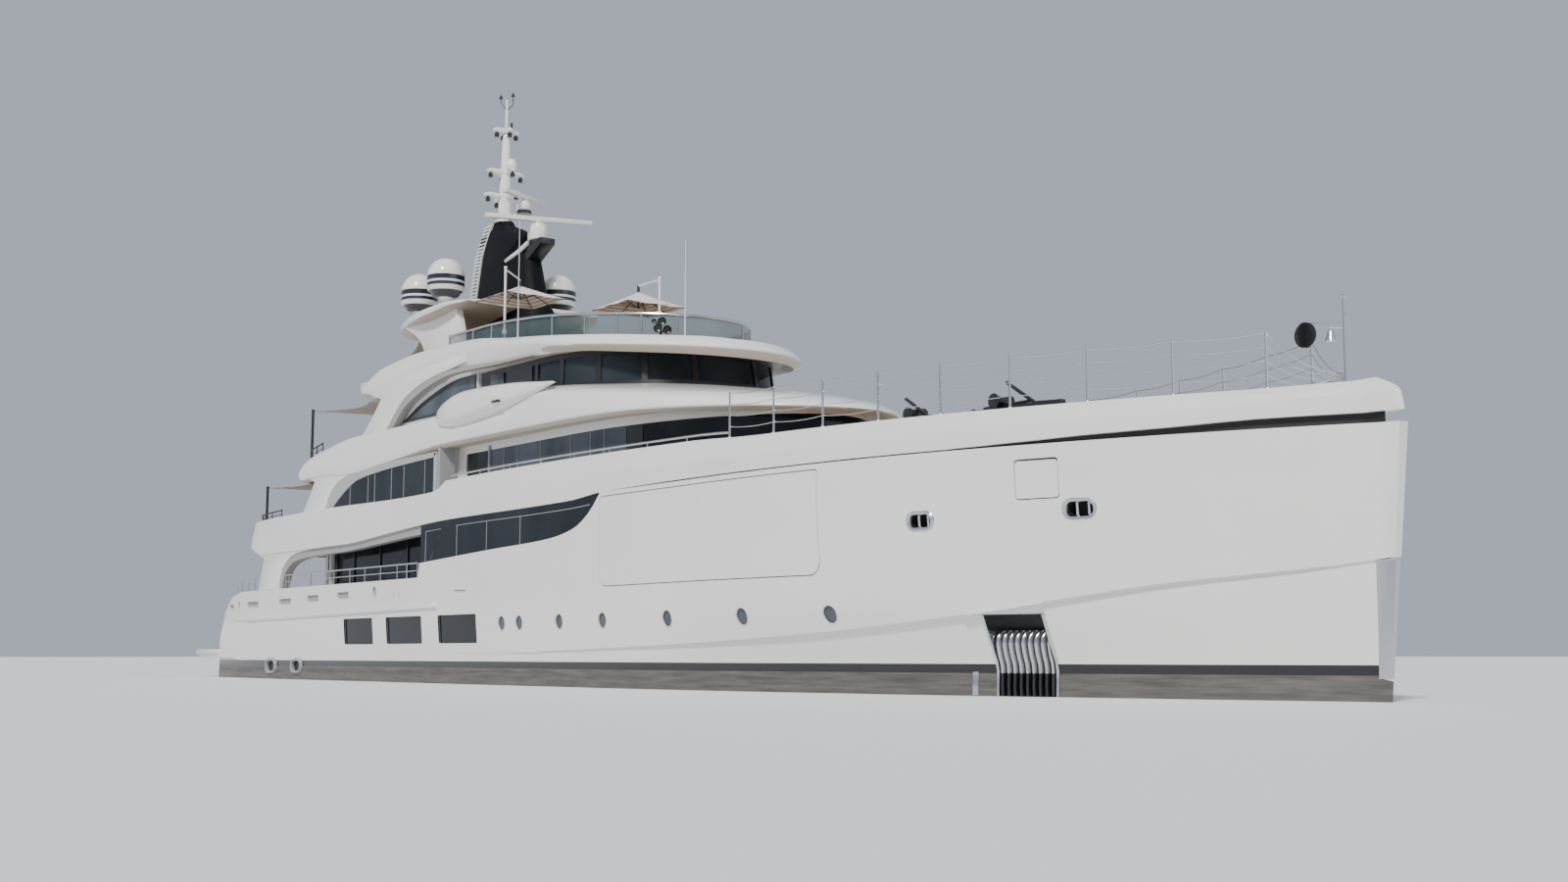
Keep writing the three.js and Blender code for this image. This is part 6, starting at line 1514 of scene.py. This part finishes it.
# Jackstaff, with the bell beside it and the anchor ball on a line
STAFF_X, BELL_AT, BALL_X, BALL_Z = 30.25, (29.97, -0.12), 29.2, 8.36
staff = [upright(STAFF_X, 0, 6.3, 9.1, [0.045, 0.028], 12),
         turned("truck", [(0, 9.08), (0.07, 9.08), (0.08, 9.11), (0.05, 9.14), (0, 9.15)], STAFF_X, 0, 16),
         turned("foot", [(0, 6.3), (0.14, 6.3), (0.14, 6.34), (0.06, 6.4), (0, 6.4)], STAFF_X, 0, 16),
         tube("arm", [(STAFF_X, 0, 8.36), (*BELL_AT, 8.4)], 0.018),
         tube("line", [(STAFF_X, 0, 8.5), (BALL_X, 0, 8.64)], 0.008, 6),
         turned("lamp", [(0, 8.62), (0.05, 8.62), (0.05, 8.74), (0, 8.76)], STAFF_X, 0.06, 12)]
finish(staff, "jackstaff", STEEL)
bell = turned("bell", [(0.10, 8.1), (0.13, 8.1), (0.12, 8.14), (0.085, 8.24), (0.07, 8.32), (0.04, 8.37), (0, 8.38),
                       (0, 8.35), (0.03, 8.34), (0.055, 8.3), (0.07, 8.24), (0.1, 8.14)], *BELL_AT, 24)
finish(bell, "bell", STEEL)
disc = [(0, -0.008), (0.3, -0.008), (0.3, 0.008), (0, 0.008)]
discs = [moved(turned("disc", disc, segments=32), (BALL_X, 0, BALL_Z), 90, axis) for axis in ("X", "Y")]
finish(discs, "anchor_ball", BLACK)

# Downlights in the soffits over the aft decks
spots = []
for under, xs, half in ((UPPER_LOWER, span(-21.4, -8.4, 8), 4.25), (BRIDGE_LOWER, span(-17.2, -7.4, 6), 4.1),
                        (SUN_LOWER, span(-11.6, -5.6, 3), 3.9)):
    for x in xs:
        z = under(x)
        spot = [(0, z - 0.012), (0.07, z - 0.012), (0.085, z), (0.085, z + 0.02), (0, z + 0.02)]
        spots += [turned("spot", spot, x, y, 12) for y in (-half, half)]
finish(spots, "soffit_lights", STEEL)

# Foredeck cranes: a post with cheeks, a boom with its winch drum and a folded jib, and a crutch
PIVOT_Z, CRANE_DECK_Z = 7.32, 6.3
CRANES = (("crane_boom_aft", 16.9, -1.9, 2.5), ("crane_boom_fore", 20.15, -1.8, 3.1))
for name, x, y, length in CRANES:
    top, crutch = PIVOT_Z - 0.18, x + length - 0.45
    profile = [(0, CRANE_DECK_Z), (0.34, CRANE_DECK_Z), (0.34, 6.36), (0.26, 6.4), (0.24, top - 0.22),
               (0.27, top - 0.14), (0.2, top), (0, top)]
    post = [turned("post", profile, x, y, 24)]
    post += [block("cheek", x - 0.15, x + 0.15, y + s * 0.215 - 0.036, y + s * 0.215 + 0.036, top - 0.1, PIVOT_Z + 0.1)
             for s in (-1, 1)]
    post += [upright(crutch, y, CRANE_DECK_Z, PIVOT_Z - 0.16, 0.06, 10),
             block("saddle", crutch - 0.06, crutch + 0.06, y - 0.15, y + 0.15, PIVOT_Z - 0.17, PIVOT_Z - 0.135)]
    finish(post, name.replace("boom", "post"), BLACK, bevel=0.012)
    z = PIVOT_Z
    boom = [loft("beam", [[(a, y - w, z - h), (a, y + w, z - h), (a, y + w, z + h), (a, y - w, z + h)] for a, w, h in (
        (x + 0.02, 0.12, 0.12), (x + length * 0.5, 0.115, 0.115), (x + length, 0.09, 0.08))])]
    for at, size, width, lift in ((x, 0.15, 0.165, 0), (x + 0.9, 0.2, 0.3, 0.26)):
        drum = [(0, -width), (size, -width), (size, -width + 0.03), (size * 0.75, -width + 0.04),
                (size * 0.75, width - 0.04), (size, width - 0.03), (size, width), (0, width)]
        boom.append(moved(turned("drum", drum, segments=24), (at, y, z + lift), 90, "X"))
    hose = [(x + 0.4, y + 0.1, z + 0.14), (x + 1.3, y + 0.12, z + 0.2), (x + length - 0.3, y + 0.07, z + 0.1)]
    boom += [tube("jib", [(x + length - 0.9, y, z + 0.05), (x + length - 2.0, y, z + 0.75)], 0.05, 10),
             tube("ram", [(x + 0.25, y, z - 0.13 + 0.28), (x + length * 0.62, y, z + 0.17)], 0.04, 10),
             tube("hose", hose, 0.016, 6)]
    finish(boom, name.replace("boom", "arm"), BLACK, body=name, replaces=[name], bevel=0.008)

# Search lights in a cluster ahead of the windbreak, and whip aerials
LIGHTS_X, LIGHTS_Y = 5.35, -2.05
LAMP = [(0, -0.17), (0.05, -0.16), (0.07, -0.04), (0.13, 0.04), (0.15, 0.12), (0.13, 0.13), (0.11, 0.05), (0, 0.0)]
lights = [upright(LIGHTS_X - 0.12, LIGHTS_Y, 11.4, 12.02, 0.045, 10)]
for across, z, size in ((-0.02, 12.04, 1.0), (-0.18, 11.78, 1.0), (0.2, 11.78, 1.0), (-0.34, 12.02, 0.55)):
    y = LIGHTS_Y + across
    lamp = turned("lamp", LAMP, 0, 0, 20)
    lamp.data.transform(Matrix.Rotation(math.radians(35), 4, "X") @ Matrix.Diagonal((size, size, size, 1)))
    lights.append(moved(lamp, (LIGHTS_X, y, z), 90, "Y"))
    lights.append(tube("arm", [(LIGHTS_X - 0.12, LIGHTS_Y, z - 0.05), (LIGHTS_X - 0.06, y, z - 0.02)], 0.03))
finish(lights, "search_lights", BLACK)
whips = []
for x, y, foot, top in ((-0.1, -4.5, 12.1, 16.45), (6.2, -1.72, 11.45, 14.72)):
    whips.append(tube("whip", [(x, y, foot - 0.25), (x, y, foot + 0.5), (x, y, top)], [0.03, 0.022, 0.01]))
    whips.append(turned("foot", [(0, foot - 0.3), (0.07, foot - 0.3), (0.05, foot - 0.05), (0, foot)], x, y, 12))
finish(whips, "whip_aerials", PALE)

# Everything that the frame still shows takes its finish here
for row in frame["record"]["subparts"]:
    mesh = frame["nodes"][row["node"]].data
    mesh.materials.clear()
    mesh.materials.append(SLOTS[row["material_slot"]][0])
